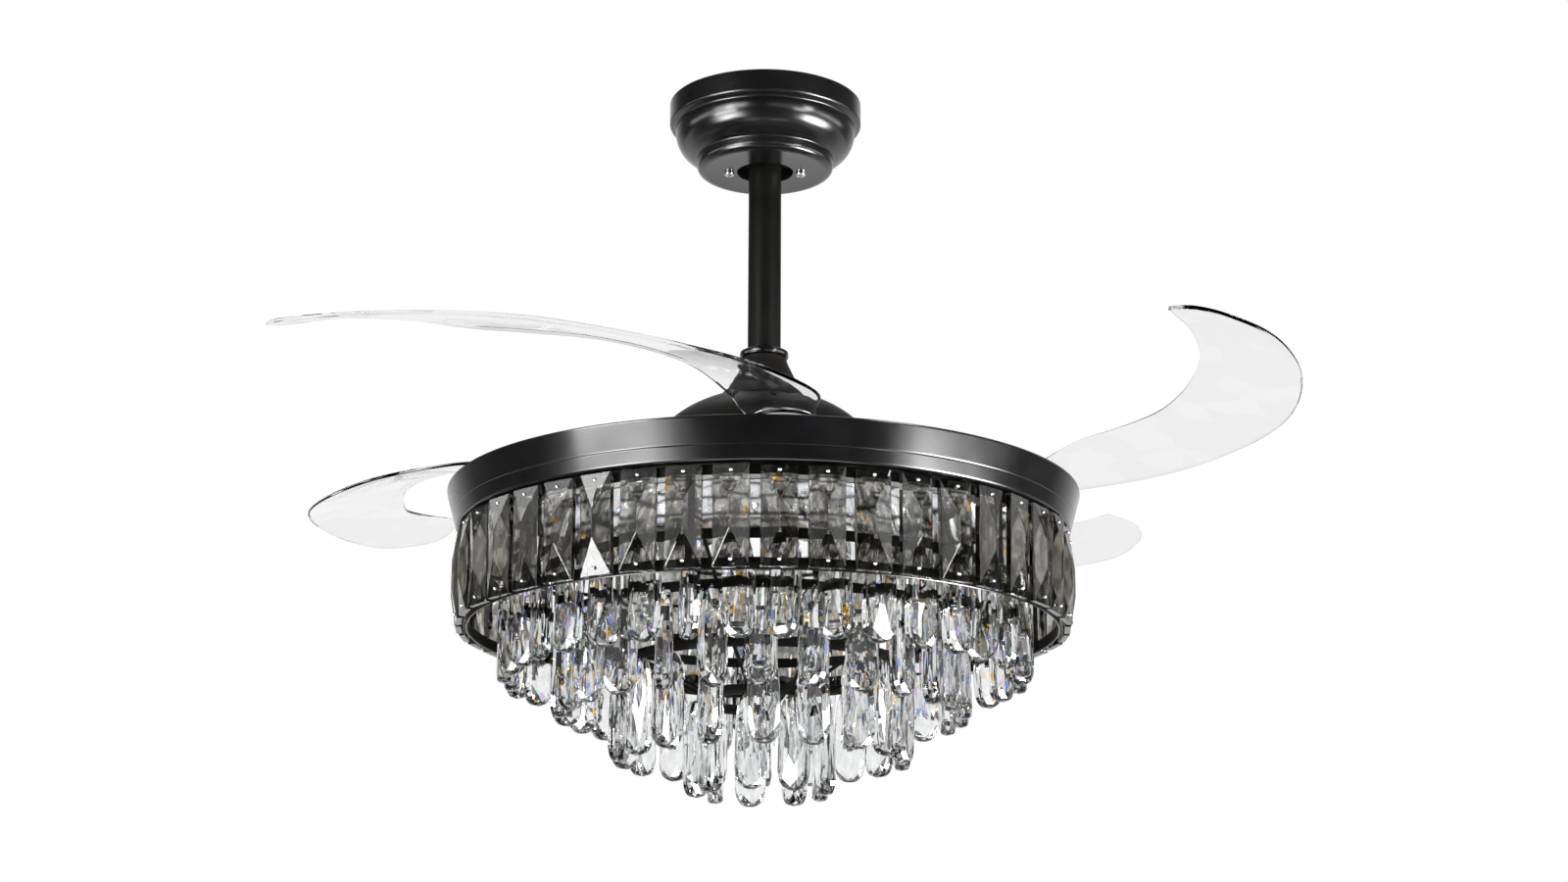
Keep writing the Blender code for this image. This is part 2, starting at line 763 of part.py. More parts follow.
def make_plate():
    bore = circle(shaft_radius + overrun, round_steps)
    meshes = [outline_mesh("blade_plate", [plate_outline(), bore], plate_foot, plate_sheet)]
    for k in range(blade_count):
        foot, head = pivot(k), pivot(k)
        foot.z, head.z = plate_top - plate_sheet / 2, cap_foot - fit_gap
        meshes.append(rod_mesh("plate_post", post_radius, foot, head, pin_steps))
    place("blade_plate", fused("blade_plate", meshes), zinc_steel, (0, 0, plate_top))


def toothed_outline(teeth, sectors, phase):
    """Outline of a gear with teeth only in the sectors (first and last angle of each).

    A tooth sits at the phase, counted in whole pitches; between the sectors the outline is
    a circle at the root of the teeth.
    """
    pitch = 2 * math.pi / teeth
    middle = teeth * gear_module / 2
    root, tip = middle - gear_module * dedendum_share, middle + gear_module * addendum_share
    half = pitch / 4 - tooth_backlash / 2 / middle
    lean = math.tan(pressure_angle) / middle
    wide, narrow = half + (middle - root) * lean, half - (tip - middle) * lean
    points = []
    for k in range(teeth):
        angle = phase + k * pitch
        if any(in_sector(angle, first, last) for first, last in sectors):
            for radius, offset in ((root, -wide), (tip, -narrow), (tip, narrow), (root, wide)):
                points.append(polar(radius, angle + offset)[:2])
        elif k % 2:
            points.append(polar(root, angle)[:2])
    return points


def in_sector(angle, first, last):
    turn = 2 * math.pi
    return (angle - first) % turn <= (last - first) % turn


def circle(radius, steps):
    return [polar(radius, 2 * math.pi * i / steps)[:2] for i in range(steps)]


def make_sync_gear():
    spare = spare_teeth * 2 * math.pi / ring_teeth
    travel = fold_angle * hub_teeth / ring_teeth
    sectors = []
    for k in range(blade_count):
        angle = pivot_angle + 2 * math.pi * k / blade_count
        sectors.append((angle - travel - spare, angle + spare))
    outline = toothed_outline(ring_teeth, sectors, pivot_angle)
    bore = circle(clear_of(guide_radius, wide_steps), wide_steps)
    mesh = outline_mesh("sync_gear", [outline, bore], gear_foot, gear_thickness)
    place("sync_gear", mesh, zinc_steel, (0, 0, plate_top))


def make_hub(k):
    """Blade hub: toothed sector, sleeve and seat disc in one casting, turning on its post."""
    spare = spare_teeth * 2 * math.pi / hub_teeth
    sectors = [(math.pi - spare, math.pi + fold_angle + spare)]
    outline = toothed_outline(hub_teeth, sectors, math.pi + math.pi / hub_teeth)
    bore_radius = clear_of(post_radius, small_steps)
    gear = outline_mesh("hub_gear", [outline, circle(bore_radius, small_steps)], gear_foot, gear_thickness)
    low = gear_top - gear_thickness / 2
    profile = [(seat_disc_radius, seat_disc_top), (seat_disc_radius, seat_disc_foot),
               (sleeve_radius, seat_disc_foot), (sleeve_radius, low), (bore_radius, low),
               (bore_radius, seat_disc_top)]
    sleeve = turned_mesh("hub_sleeve", profile, small_steps)
    mesh = fused(f"blade_hub_{k + 1}", [gear, sleeve])
    return place(f"blade_hub_{k + 1}", mesh, zinc_steel)


def make_spring(k):
    """Torsion spring wound round the hub's sleeve."""
    count = spring_turns * spring_points + 1
    radius = sleeve_radius + spring_wire_radius + fit_gap
    first = gear_top + fit_gap + spring_wire_radius
    rise = seat_disc_foot - fit_gap - spring_wire_radius - first
    curve = bpy.data.curves.new("spring", "CURVE")
    curve.dimensions = "3D"
    curve.bevel_depth = spring_wire_radius
    curve.bevel_resolution = 0
    curve.use_fill_caps = True
    curve.render_resolution_u = 0
    spline = curve.splines.new("POLY")
    spline.points.add(count - 1)
    for i, point in enumerate(spline.points):
        place_on = polar(radius / math.cos(math.pi / spring_points), 2 * math.pi * i / spring_points)
        point.co = (place_on.x, place_on.y, first + rise * i / (count - 1), 1)
    return place(f"return_spring_{k + 1}", evaluated(add_object("spring", curve)), zinc_steel)


def smooth_points(points, count):
    """Points evenly spread in parameter on a Catmull-Rom curve through the given ones."""
    result = []
    for i in range(count):
        t = i * (len(points) - 1) / (count - 1)
        k = min(int(t), len(points) - 2)
        f = t - k
        a, b = points[max(k - 1, 0)], points[k]
        c, d = points[k + 1], points[min(k + 2, len(points) - 1)]
        result.append(0.5 * (2 * b + (c - a) * f + (2 * a - 5 * b + 4 * c - d) * f ** 2
                             + (3 * b - a - 3 * c + d) * f ** 3))
    return result


def make_blade(k):
    """A clear crescent: round root on the hub, then a strip lofted between its two edges."""
    def edge(shares, side):
        round_end = [polar(seat_disc_radius, math.radians(a) * side) for a in root_end_degrees]
        strip = [Vector((x * blade_reach, y * blade_reach, z * blade_rise)) for x, y, z in shares]
        return smooth_points(round_end + strip, blade_sections)
    outer, inner = edge(outer_edge_shares, 1), edge(inner_edge_shares, -1)
    flat = len(root_end_degrees) / (len(root_end_degrees) + len(outer_edge_shares) - 1)
    shape = bmesh.new()
    rows = []
    for i, (a, b) in enumerate(zip(outer, inner)):
        along = max(0.0, (i / (blade_sections - 1) - flat) / (1 - flat))
        swell = math.sin(math.pi * along) ** 2 * blade_crown
        row = []
        for j in range(blade_strips + 1):
            share = j / blade_strips
            point = a.lerp(b, share)
            point.z = max(0.0, point.z) + swell * 4 * share * (1 - share)
            row.append(shape.verts.new(point))
        rows.append(row)
    for low, high in zip(rows, rows[1:]):
        for j in range(blade_strips):
            shape.faces.new((low[j], high[j], high[j + 1], low[j + 1]))
    mesh = bpy.data.meshes.new("blade")
    shape.to_mesh(mesh)
    shape.free()
    guide = add_object("blade", mesh)
    shell = guide.modifiers.new("sheet", "SOLIDIFY")
    shell.thickness = blade_sheet
    shell.offset = 0.0
    shell.use_even_offset = False
    mesh = evaluated(guide)
    mesh.transform(Matrix.Translation((0, 0, blade_foot + blade_sheet / 2)))
    item = place(f"blade_{k + 1}", mesh, clear_acrylic)
    cut(item, f"blade_bore_{k + 1}", [rod_mesh("bore", clear_of(post_radius, pin_steps) + overrun / 2,
                                               (0, 0, blade_foot - overrun),
                                               (0, 0, cap_foot + overrun), small_steps)])
    return item


def make_cap(k):
    top = cap_foot + cap_height
    profile = [(0, top), (seat_disc_radius * cap_crown_share, top),
               (seat_disc_radius, cap_foot + cap_height / 2),
               (seat_disc_radius, cap_foot), (0, cap_foot)]
    cap = turned_mesh("cap", profile, round_steps, closed=False)
    return place(f"blade_cap_{k + 1}", cap, bright_chrome)


def make_blades():
    for k in range(blade_count):
        turn = pivot_angle + 2 * math.pi * k / blade_count
        for make in (make_blade, make_hub, make_spring, make_cap):
            item = make(k)
            item.location = pivot(k)
            item.rotation_euler.z = turn
            for modifier in item.modifiers:
                if modifier.type == "BOOLEAN":
                    modifier.object.location = pivot(k)
                    modifier.object.rotation_euler.z = turn


def make_carrier():
    meshes = [rod_mesh("carrier_disc", carrier_radius, (0, 0, carrier_foot), (0, 0, carrier_top),
                       round_steps)]
    for k in range(carrier_arms // 2):
        arm = box_mesh("carrier_arm", (2 * carrier_arm_end, carrier_arm_width, carrier_sheet),
                       (0, 0, (carrier_foot + carrier_top) / 2))
        arm.transform(Matrix.Rotation(math.pi * (k + 0.5) / (carrier_arms // 2), 4, "Z"))
        meshes.append(arm)
    carrier = place("drum_carrier", fused("drum_carrier", meshes), satin_black, (0, 0, ball_z))
    bore = clear_of(shaft_radius, round_steps)
    cut(carrier, "carrier_bore", [rod_mesh("bore", bore, (0, 0, carrier_foot - overrun),
                                           (0, 0, carrier_top + overrun), round_steps)])
    head = carrier_foot - fit_gap
    foot = head - nut_height
    nut = place("carrier_nut", rod_mesh("carrier_nut", nut_radius, (0, 0, foot), (0, 0, head), nut_sides),
                zinc_steel, (0, 0, ball_z))
    cut(nut, "nut_bore", [rod_mesh("bore", bore, (0, 0, foot - overrun), (0, 0, head + overrun),
                                   round_steps)])


def make_band():
    lean = (drum_radius - drum_foot_radius) / drum_height
    flange_top = rim_z - drum_flange_below_rim
    flange_foot = flange_top - drum_sheet

    def wall(height):
        return drum_radius - drum_sheet - lean * (rim_z - height)
    lip_top = drum_foot + drum_sheet
    profile = [(drum_radius, rim_z), (drum_foot_radius, drum_foot), (drum_lip_radius, drum_foot),
               (drum_lip_radius, lip_top), (wall(lip_top), lip_top), (wall(flange_foot), flange_foot),
               (drum_flange_radius, flange_foot), (drum_flange_radius, flange_top),
               (wall(flange_top), flange_top), (drum_radius - drum_sheet, rim_z)]
    place("drum_band", turned_mesh("drum_band", profile, rim_steps), satin_black, (0, 0, ball_z))


def make_light():
    tray_foot = tray_top - tray_sheet
    meshes = [rod_mesh("tray_disc", tray_radius, (0, 0, tray_foot), (0, 0, tray_top), wide_steps)]
    for k in range(standoff_count):
        place_at = polar(standoff_spread, 2 * math.pi * k / standoff_count)
        start, end = place_at.copy(), place_at.copy()
        start.z, end.z = tray_foot + tray_sheet / 2, carrier_foot - fit_gap
        meshes.append(rod_mesh("standoff", standoff_radius, start, end, pin_steps))
    place("led_tray", fused("led_tray", meshes), white_plastic, (0, 0, ball_z))
    foot = diffuser_top - diffuser_depth
    inner = tray_radius - diffuser_sheet
    shoulder = diffuser_top - diffuser_depth * diffuser_shoulder_share
    belly = tray_radius * diffuser_belly_share
    profile = [(0, foot + diffuser_sheet), (belly - diffuser_sheet, foot + 2 * diffuser_sheet),
               (inner, shoulder + diffuser_sheet / 2), (inner, diffuser_top), (tray_radius, diffuser_top),
               (tray_radius, shoulder), (belly, foot + diffuser_sheet), (0, foot)]
    place("led_diffuser", turned_mesh("led_diffuser", profile, wide_steps, closed=False), opal_plastic,
          (0, 0, ball_z))
    size = (driver_length, driver_width, driver_height)
    middle = (0, driver_offset, tray_top + fit_gap + driver_height / 2)
    rounded_box("led_driver", size, middle, driver_edge, black_plastic)


def hull_mesh(name, points):
    shape = bmesh.new()
    for point in points:
        shape.verts.new(point)
    bmesh.ops.convex_hull(shape, input=shape.verts)
    return finish_mesh(name, shape)


def prism_mesh():
    """Upright smoke bar facing +X: flat back, and a front that rises to a ridge between two apexes."""
    half_width, half_length, apex = prism_width / 2, prism_length / 2, prism_length * prism_apex_share / 2
    points = [(x, y * half_width, z * half_length)
              for x in (-prism_back, prism_edge) for y in (-1, 1) for z in (-1, 1)]
    points += [(prism_front, 0, z * apex) for z in (-1, 1)]
    return hull_mesh("prism", points)


def make_prisms():
    step = 2 * math.pi / prism_count
    per_group = prism_count // prism_groups
    rail_radius = prism_middle_radius / math.cos(step / 2) + rail_width / 2
    rail_foot = prism_top - rail_height
    front = -math.pi / 2 + prism_phase
    for group in range(prism_groups):
        first = front + (group * per_group - 0.5) * step
        rail = ribbon_mesh("rail", rail_radius, rail_foot, prism_top, per_group, rail_width,
                           first + step * rail_end_share, step * (per_group - 2 * rail_end_share))
        prisms = []
        for k in range(per_group):
            prism = prism_mesh()
            prism.transform(Matrix.Rotation(first + (k + 0.5) * step, 4, "Z") @ Matrix.Translation(
                (prism_middle_radius, 0, rail_foot + rail_sink - prism_length / 2)))
            prisms.append(prism)
        name = f"smoke_prisms_{group + 1}"
        place(name, fused(name, [rail, joined("prisms", prisms)]), smoke_glass, (0, 0, ball_z))


def make_frame():
    """Black frame: ring under the drum, ring behind the prisms' feet, bars and stepped ribs."""
    top = drum_foot - fit_gap
    foot = prism_foot
    meshes = [ribbon_mesh("frame_top_ring", frame_top_radius, top - frame_ring_height, top, frame_steps,
                          frame_top_sheet),
              ribbon_mesh("frame_foot_ring", foot_ring_radius, foot, foot + foot_ring_height, frame_steps,
                          foot_ring_sheet)]
    low, high = foot + overrun, top - frame_ring_height / 2
    for k in range(rib_count):
        angle = rib_phase + 2 * math.pi * k / rib_count
        bar = box_mesh("frame_bar", (frame_bar_depth, frame_bar_width, high - low),
                       (frame_bar_radius, 0, (low + high) / 2))
        bar.transform(Matrix.Rotation(angle, 4, "Z"))
        meshes.append(bar)
        route = [(frame_bar_radius, rim_z - tier_depths[0] + rib_lift(0))]
        for radius, depth in zip(tier_radii, tier_depths):
            route.append((radius, rim_z - depth + rib_lift(len(route) - 1)))
        route.append((tier_radii[-1] * rib_end_share, route[-1][1]))
        points = [polar(r, angle) + Vector((0, 0, z)) for r, z in route]
        meshes.append(wire_mesh("rib", points, rib_radius))
    place("crystal_frame", fused("crystal_frame", meshes), satin_black, (0, 0, ball_z))


def rib_lift(index):
    """Height of a rib's middle over a tier ring, so that its slope clears the ring's inner edge."""
    slope = 0.0
    if index + 1 < len(tier_radii):
        fall = tier_depths[index + 1] - tier_depths[index]
        slope = fall / (tier_radii[index] - tier_radii[index + 1])
    return fit_gap + rib_radius * math.hypot(1, slope) + slope * tier_sheet * rib_edge_share


def wire_mesh(name, points, radius):
    curve = bpy.data.curves.new(name, "CURVE")
    curve.dimensions = "3D"
    curve.bevel_depth = radius
    curve.bevel_resolution = 0
    curve.use_fill_caps = True
    curve.render_resolution_u = 0
    spline = curve.splines.new("POLY")
    spline.points.add(len(points) - 1)
    for point, co in zip(spline.points, points):
        point.co = (*co, 1)
    return evaluated(add_object(name, curve))


def drop_mesh():
    """Cut pendant with its narrow end up at the origin and one table point on each side."""
    points = [(0, across * side * drop_width, -down * drop_length)
              for across, down in drop_outline_shares for side in (-1, 1)]
    points += [(side * drop_thickness / 2, 0, -drop_length * drop_table_share) for side in (-1, 1)]
    return hull_mesh("drop", points)


def on_polygon(radius, steps, angle):
    """Point at an angle on a ring's straight facet, whose corners lie at the radius."""
    facet = 2 * math.pi / steps
    across = (angle - rib_phase) % facet - facet / 2
    return polar(radius * math.cos(facet / 2) / math.cos(across), angle)


def make_tier(index):
    radius, depth = tier_radii[index], tier_depths[index]
    count, steps = tier_drops[index], tier_steps[index]
    low = rim_z - depth - tier_height
    ring = ribbon_mesh("tier_ring", radius + tier_sheet / 2, low, low + tier_height, steps, tier_sheet,
                       rib_phase)
    drops = []
    for k in range(count):
        drop = drop_mesh()
        place_at = on_polygon(radius, steps, 2 * math.pi * (k + 0.5) / count)
        drop.transform(Matrix.Translation((place_at.x, place_at.y, low + drop_sink))
                       @ Matrix.Rotation(drop_turn * k + 2 * math.pi * k / count, 4, "Z"))
        drops.append(drop)
    name = f"crystal_tier_{index + 1}"
    place(name, fused(name, [ring, joined("drops", drops)]), clear_crystal, (0, 0, ball_z))


make_bracket()
make_canopy()
make_receiver()
make_ball()
make_rod()
make_coupling()
make_shaft()
make_stator()
make_dome()
make_base()
make_plate()
make_sync_gear()
make_blades()
make_carrier()
make_band()
make_light()
make_frame()
make_prisms()
for tier in range(len(tier_radii)):
    make_tier(tier)
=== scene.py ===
import math
import random

import bmesh
import bpy
from mathutils import Matrix, Vector


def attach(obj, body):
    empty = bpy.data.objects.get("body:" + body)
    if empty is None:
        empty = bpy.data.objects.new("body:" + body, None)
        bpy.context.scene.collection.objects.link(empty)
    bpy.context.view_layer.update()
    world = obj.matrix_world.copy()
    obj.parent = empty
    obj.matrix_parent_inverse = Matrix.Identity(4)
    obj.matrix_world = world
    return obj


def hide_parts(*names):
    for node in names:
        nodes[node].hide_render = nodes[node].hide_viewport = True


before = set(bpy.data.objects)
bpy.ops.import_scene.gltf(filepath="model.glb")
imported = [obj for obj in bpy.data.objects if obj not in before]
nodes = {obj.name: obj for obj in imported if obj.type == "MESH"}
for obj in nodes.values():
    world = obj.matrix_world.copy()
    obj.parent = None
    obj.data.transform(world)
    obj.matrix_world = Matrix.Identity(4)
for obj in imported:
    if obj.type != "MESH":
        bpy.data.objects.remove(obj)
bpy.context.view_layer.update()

# Looks of the chandelier ceiling fan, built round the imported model. Lengths are in metres, +Z is up,
# and the origin is on the ceiling. Most names and sizes repeat those of the part's own source; the
# canopy's foot and the prisms' width follow the photo more closely.

# Gap between a piece and the one that carries it
fit_gap = 0.0003

# Camera, as it stood for the photograph
image_width = 1600
camera_place = (0.0, -2.0852, -0.8673)
camera_pitch = 0.2712
camera_roll = 0.0051
camera_focal_pixels = 2762.8
camera_middle_pixel = 779.3
sensor_width = 36.0

# Canopy, rod and coupling
canopy_top = -0.0003
canopy_radius = 0.0788
canopy_hole_radius = 0.0230
canopy_sheet = 0.0012
canopy_foot = -0.0587
screw_spread = 0.0293
screw_top = -0.0590
screw_foot = screw_top - 0.0026
screw_slot = (0.0046, 0.0011, 0.0026)
screw_turn = 0.35
rod_radius = 0.01335
rod_wall = 0.0020
rod_top = -0.0130
rod_foot = -0.2445
collar_radius = 0.0196
collar_top = -0.2137
collar_height = 0.0050
cover_top_radius = 0.0182
cover_foot_radius = 0.0366
cover_top = -0.2190
cover_height = 0.0346
cover_sheet = 0.0014

# Motor and blade plate
rim_z = -0.3368
dome_radius = 0.0950
dome_top = -0.2546
dome_foot = -0.3245
dome_sheet = 0.0016
dome_hole_radius = 0.0150
vent_count = 12
vent_radius = 0.0590
vent_reach = 0.0055
vent_round = 0.0020
base_radius = 0.1174
base_foot = -0.3325
base_floor = base_foot + 0.0028
base_rim = base_foot + 0.0077
base_wall = 0.0044
base_hole_radius = 0.0130
plate_top = -0.3328
plate_sheet = 0.0020
plate_radius = 0.1500
plate_middle = plate_top - plate_sheet / 2
lobe_radius = 0.0270
pivot_radius = 0.1700
pivot_angle = math.radians(4.6)
blade_count = 4
post_radius = 0.0050

# Hub, spring, cap and blade
seat_radius = 0.0240
seat_foot = -0.3215
seat_top = -0.3195
sleeve_radius = 0.0100
hub_teeth = 20
gear_module = 0.0034
hub_gear_foot = -0.3325
hub_gear_top = -0.3280
hub_bore_radius = 0.0054
spring_wire_radius = 0.0006
spring_turns = 5
spring_steps = 28
blade_foot = -0.3192
blade_sheet = 0.0030
blade_reach = 0.3660
blade_rise = 0.0400
blade_crown = 0.0030
cap_foot = -0.3159
cap_height = 0.0025
cap_radius = 0.0240

# Drum
drum_radius = 0.2500
drum_foot_radius = 0.2415
drum_height = 0.0315
drum_sheet = 0.0016
flange_radius = 0.2220
flange_top = -0.3443
lip_radius = 0.2260
tray_radius = 0.1780
tray_top = -0.3570
tray_foot = tray_top - 0.0020
standoff_radius = 0.0040
standoff_place = 0.0450
standoff_height = 0.0122
diffuser_top = tray_foot - fit_gap
diffuser_foot = diffuser_top - 0.0165
diffuser_sheet = 0.0020
mirror_in = 0.0450
mirror_out = 0.2200
mirror_foot = diffuser_foot - 0.0014
mirror_sheet = 0.0008

# Smoke prisms
prism_count = 44
prism_group = 4
prism_phase = math.radians(2.7)
prism_top = -0.3700
prism_length = 0.0751
prism_width = 0.0266
prism_back = 0.0030
prism_edge = 0.0015
prism_front = 0.0062
prism_apex = 0.0102
prism_radius = 0.2385
pin_inset = 0.0052
pin_radius = 0.0005
pin_head = 0.00135
prism_tilt = 0.016
prism_turn = 0.085

# Frame and crystal tiers
frame_top = -0.3686
frame_ring_height = 0.0080
frame_top_radius = 0.2355
foot_ring_radius = 0.2318
foot_ring_height = 0.0090
ring_steps = 220
frame_sheet = 0.0018
foot_sheet = 0.0016
frame_post = (0.0020, 0.0046)
prism_foot = -0.4451
rib_count = 6
rib_phase = math.radians(16.9)
rib_radius = 0.0015
tier_radii = (0.2000, 0.1550, 0.1100, 0.0500)
tier_tops = (-0.4071, -0.4341, -0.4680, -0.4928)
tier_drops = (36, 26, 18, 9)
tier_height = 0.0080
tier_sheet = 0.0016
drop_length = 0.0750
drop_width = 0.0245
drop_thickness = 0.0135
drop_turn = math.radians(137.5)
drop_wander = 0.55
drop_swing = 0.02
facing_share = 0.6
girdle_thickness = 0.64
girdle_width = 0.95
hook_wire = 0.0003
hook_half_width = 0.0022
hook_half_height = 0.0026
hook_place = 0.0021
foot_wire = 0.0005


def polar(radius, angle, height=0.0):
    return Vector((radius * math.cos(angle), radius * math.sin(angle), height))


# Materials
noise_low, noise_high = 0.3, 0.7


def new_material(name):
    material = bpy.data.materials.new(name)
    material.use_nodes = True
    tree = material.node_tree
    return material, tree, tree.nodes["Principled BSDF"]


def set_inputs(tree, node, inputs):
    """Link each input, found by its name or number, to an output, or set it to a value."""
    for key, value in inputs.items():
        if isinstance(value, bpy.types.NodeSocket):
            tree.links.new(value, node.inputs[key])
        else:
            node.inputs[key].default_value = value


def add_node(tree, kind, inputs):
    node = tree.nodes.new("ShaderNode" + kind)
    set_inputs(tree, node, inputs)
    return node


def place_coordinates(tree, stretch=(1, 1, 1)):
    """The object's own place in metres, scaled along each axis."""
    source = tree.nodes.new("ShaderNodeTexCoord")
    mapping = add_node(tree, "Mapping", {"Vector": source.outputs["Object"], "Scale": stretch})
    return mapping.outputs["Vector"]


def noise(tree, coordinates, scale, detail=3.0, roughness=0.55):
    node = add_node(tree, "TexNoise", {"Vector": coordinates, "Scale": scale, "Detail": detail,
                                       "Roughness": roughness})
    return node.outputs["Fac"]


def grey(value):
    return (value, value, value)


def colour_ramp(tree, factor, stops, interpolation="LINEAR"):
    node = add_node(tree, "ValToRGB", {"Fac": factor})
    node.color_ramp.interpolation = interpolation
    elements = node.color_ramp.elements
    while len(elements) < len(stops):
        elements.new(0.5)
    for element, (position, colour) in zip(elements, stops):
        element.position = position
        element.color = (*colour, 1.0)
    return node.outputs["Color"]


def two_tone(tree, factor, dark, light):
    return colour_ramp(tree, factor, ((noise_low, dark), (noise_high, light)))


def map_range(tree, factor, low, high, to_low=0.0, to_high=1.0):
    node = add_node(tree, "MapRange", {"Value": factor, "From Min": low, "From Max": high,
                                       "To Min": to_low, "To Max": to_high})
    return node.outputs["Result"]


def spread(tree, factor, low, high):
    """From low to high as a noise passes through its middle range."""
    return map_range(tree, factor, noise_low, noise_high, low, high)


def bump(tree, height, strength, distance):
    node = add_node(tree, "Bump", {"Height": height, "Strength": strength, "Distance": distance})
    return node.outputs["Normal"]


def coated_metal(name, dark, light, roughness, specular):
    """Powder coat: fine orange peel, with slow changes in colour and gloss."""
    material, tree, shader = new_material(name)
    place = place_coordinates(tree)
    cloud = noise(tree, place, 28.0, 4.0)
    set_inputs(tree, shader, {
        "Base Color": two_tone(tree, cloud, dark, light), "Roughness": spread(tree, cloud, *roughness),
        "Specular IOR Level": specular,
        "Normal": bump(tree, noise(tree, place, 1400.0, 2.0), 0.12, 0.0001)})
    return material


def bare_metal(name, dark, light, roughness, stretch, scale):
    """Plated or brushed metal, with its grain drawn out along the stretched axes."""
    material, tree, shader = new_material(name)
    grain = noise(tree, place_coordinates(tree, stretch), scale, 5.0, 0.7)
    cloud = noise(tree, place_coordinates(tree), 45.0)
    set_inputs(tree, shader, {
        "Metallic": 1.0, "Base Color": two_tone(tree, cloud, dark, light),
        "Roughness": spread(tree, grain, *roughness), "Normal": bump(tree, grain, 0.10, 0.0001)})
    return material


def plastic(name, dark, light, roughness, grain_scale):
    material, tree, shader = new_material(name)
    place = place_coordinates(tree)
    cloud = noise(tree, place, 22.0)
    set_inputs(tree, shader, {
        "Base Color": two_tone(tree, cloud, dark, light), "Roughness": spread(tree, cloud, *roughness),
        "Normal": bump(tree, noise(tree, place, grain_scale, 2.0), 0.15, 0.0001)})
    return material


def clear_glass(name, stops, refraction, roughness, scale, stretch, waves, glint_lift=None, depth_tint=None):
    """Clear stock whose tint follows the stops, cell by cell, with faint waves and finger marks. Coloured
    cells in the stops are painted glints.

    The glint lift, if any, gives two heights and what is added to a cell's value at each of them; raised
    values put more painted colour glints there. The depth tint, a colour and a density, darkens light by
    the length of its way through the glass.
    """
    material, tree, shader = new_material(name)
    place = place_coordinates(tree)
    cells = add_node(tree, "TexVoronoi", {"Vector": place_coordinates(tree, stretch), "Scale": scale})
    value = add_node(tree, "SeparateColor", {"Color": cells.outputs["Color"]}).outputs["Red"]
    if glint_lift:
        height = add_node(tree, "SeparateXYZ", {"Vector": place}).outputs["Z"]
        value = maths(tree, "ADD", value, map_range(tree, height, *glint_lift))
    set_inputs(tree, shader, {
        "Transmission Weight": 1.0, "IOR": refraction,
        "Base Color": colour_ramp(tree, value, stops, "CONSTANT"),
        "Roughness": spread(tree, noise(tree, place, 60.0), *roughness),
        "Normal": bump(tree, noise(tree, place, 35.0, 1.0), waves, 0.001)})
    if depth_tint:
        colour, density = depth_tint
        body = add_node(tree, "VolumeAbsorption", {"Color": (*colour, 1.0), "Density": density})
        set_inputs(tree, tree.nodes["Material Output"], {"Volume": body.outputs["Volume"]})
    return material


def wound_copper(name, dark, light):
    """Enamelled wire: fine ridges round the axis, with painted shade darkening the grooves between turns.
    """
    material, tree, shader = new_material(name)
    wave = add_node(tree, "TexWave", {"Vector": place_coordinates(tree), "Scale": 420.0,
                                      "Distortion": 1.5})
    wave.bands_direction = "Z"
    ridge = wave.outputs["Fac"]
    # The base colour follows the ridges, dark in the grooves: painted shade
    set_inputs(tree, shader, {
        "Metallic": 1.0, "Base Color": colour_ramp(tree, ridge, ((0.2, dark), (0.8, light))),
        "Roughness": spread(tree, ridge, 0.45, 0.28), "Normal": bump(tree, ridge, 0.4, 0.0003)})
    return material


def maths(tree, operation, first, second):
    node = add_node(tree, "Math", {0: first, 1: second})
    node.operation = operation
    return node.outputs["Value"]


def mixed(tree, factor, first, second):
    return add_node(tree, "MixShader", {"Fac": factor, 1: first, 2: second}).outputs["Shader"]


# Crystal tint by cell: the clear greys differ at random, while the orange, blue, violet and teal cells are
# painted colour glints standing in for the crystal's fire
crystal_tint_and_glint_stops = ((0.00, (0.88, 0.89, 0.89)), (0.30, (0.95, 0.955, 0.955)), (0.62, (0.82, 0.83, 0.84)),
                 (0.885, (0.98, 0.50, 0.10)), (0.905, (0.14, 0.28, 0.95)), (0.925, (0.66, 0.40, 0.95)),
                 (0.937, (0.40, 0.85, 0.80)), (0.945, (0.93, 0.935, 0.94)))
# Smoke tint by cell: the greys differ at random, and the orange cell is a painted glint
smoke_tint_and_glint_stops = ((0.00, (0.60, 0.59, 0.57)), (0.30, (0.26, 0.255, 0.24)), (0.58, (0.98, 0.97, 0.95)),
               (0.955, (1.00, 0.42, 0.06)), (0.968, (0.40, 0.39, 0.37)))
acrylic_stops = ((0.00, (0.86, 0.86, 0.86)), (0.60, (0.89, 0.89, 0.895)))

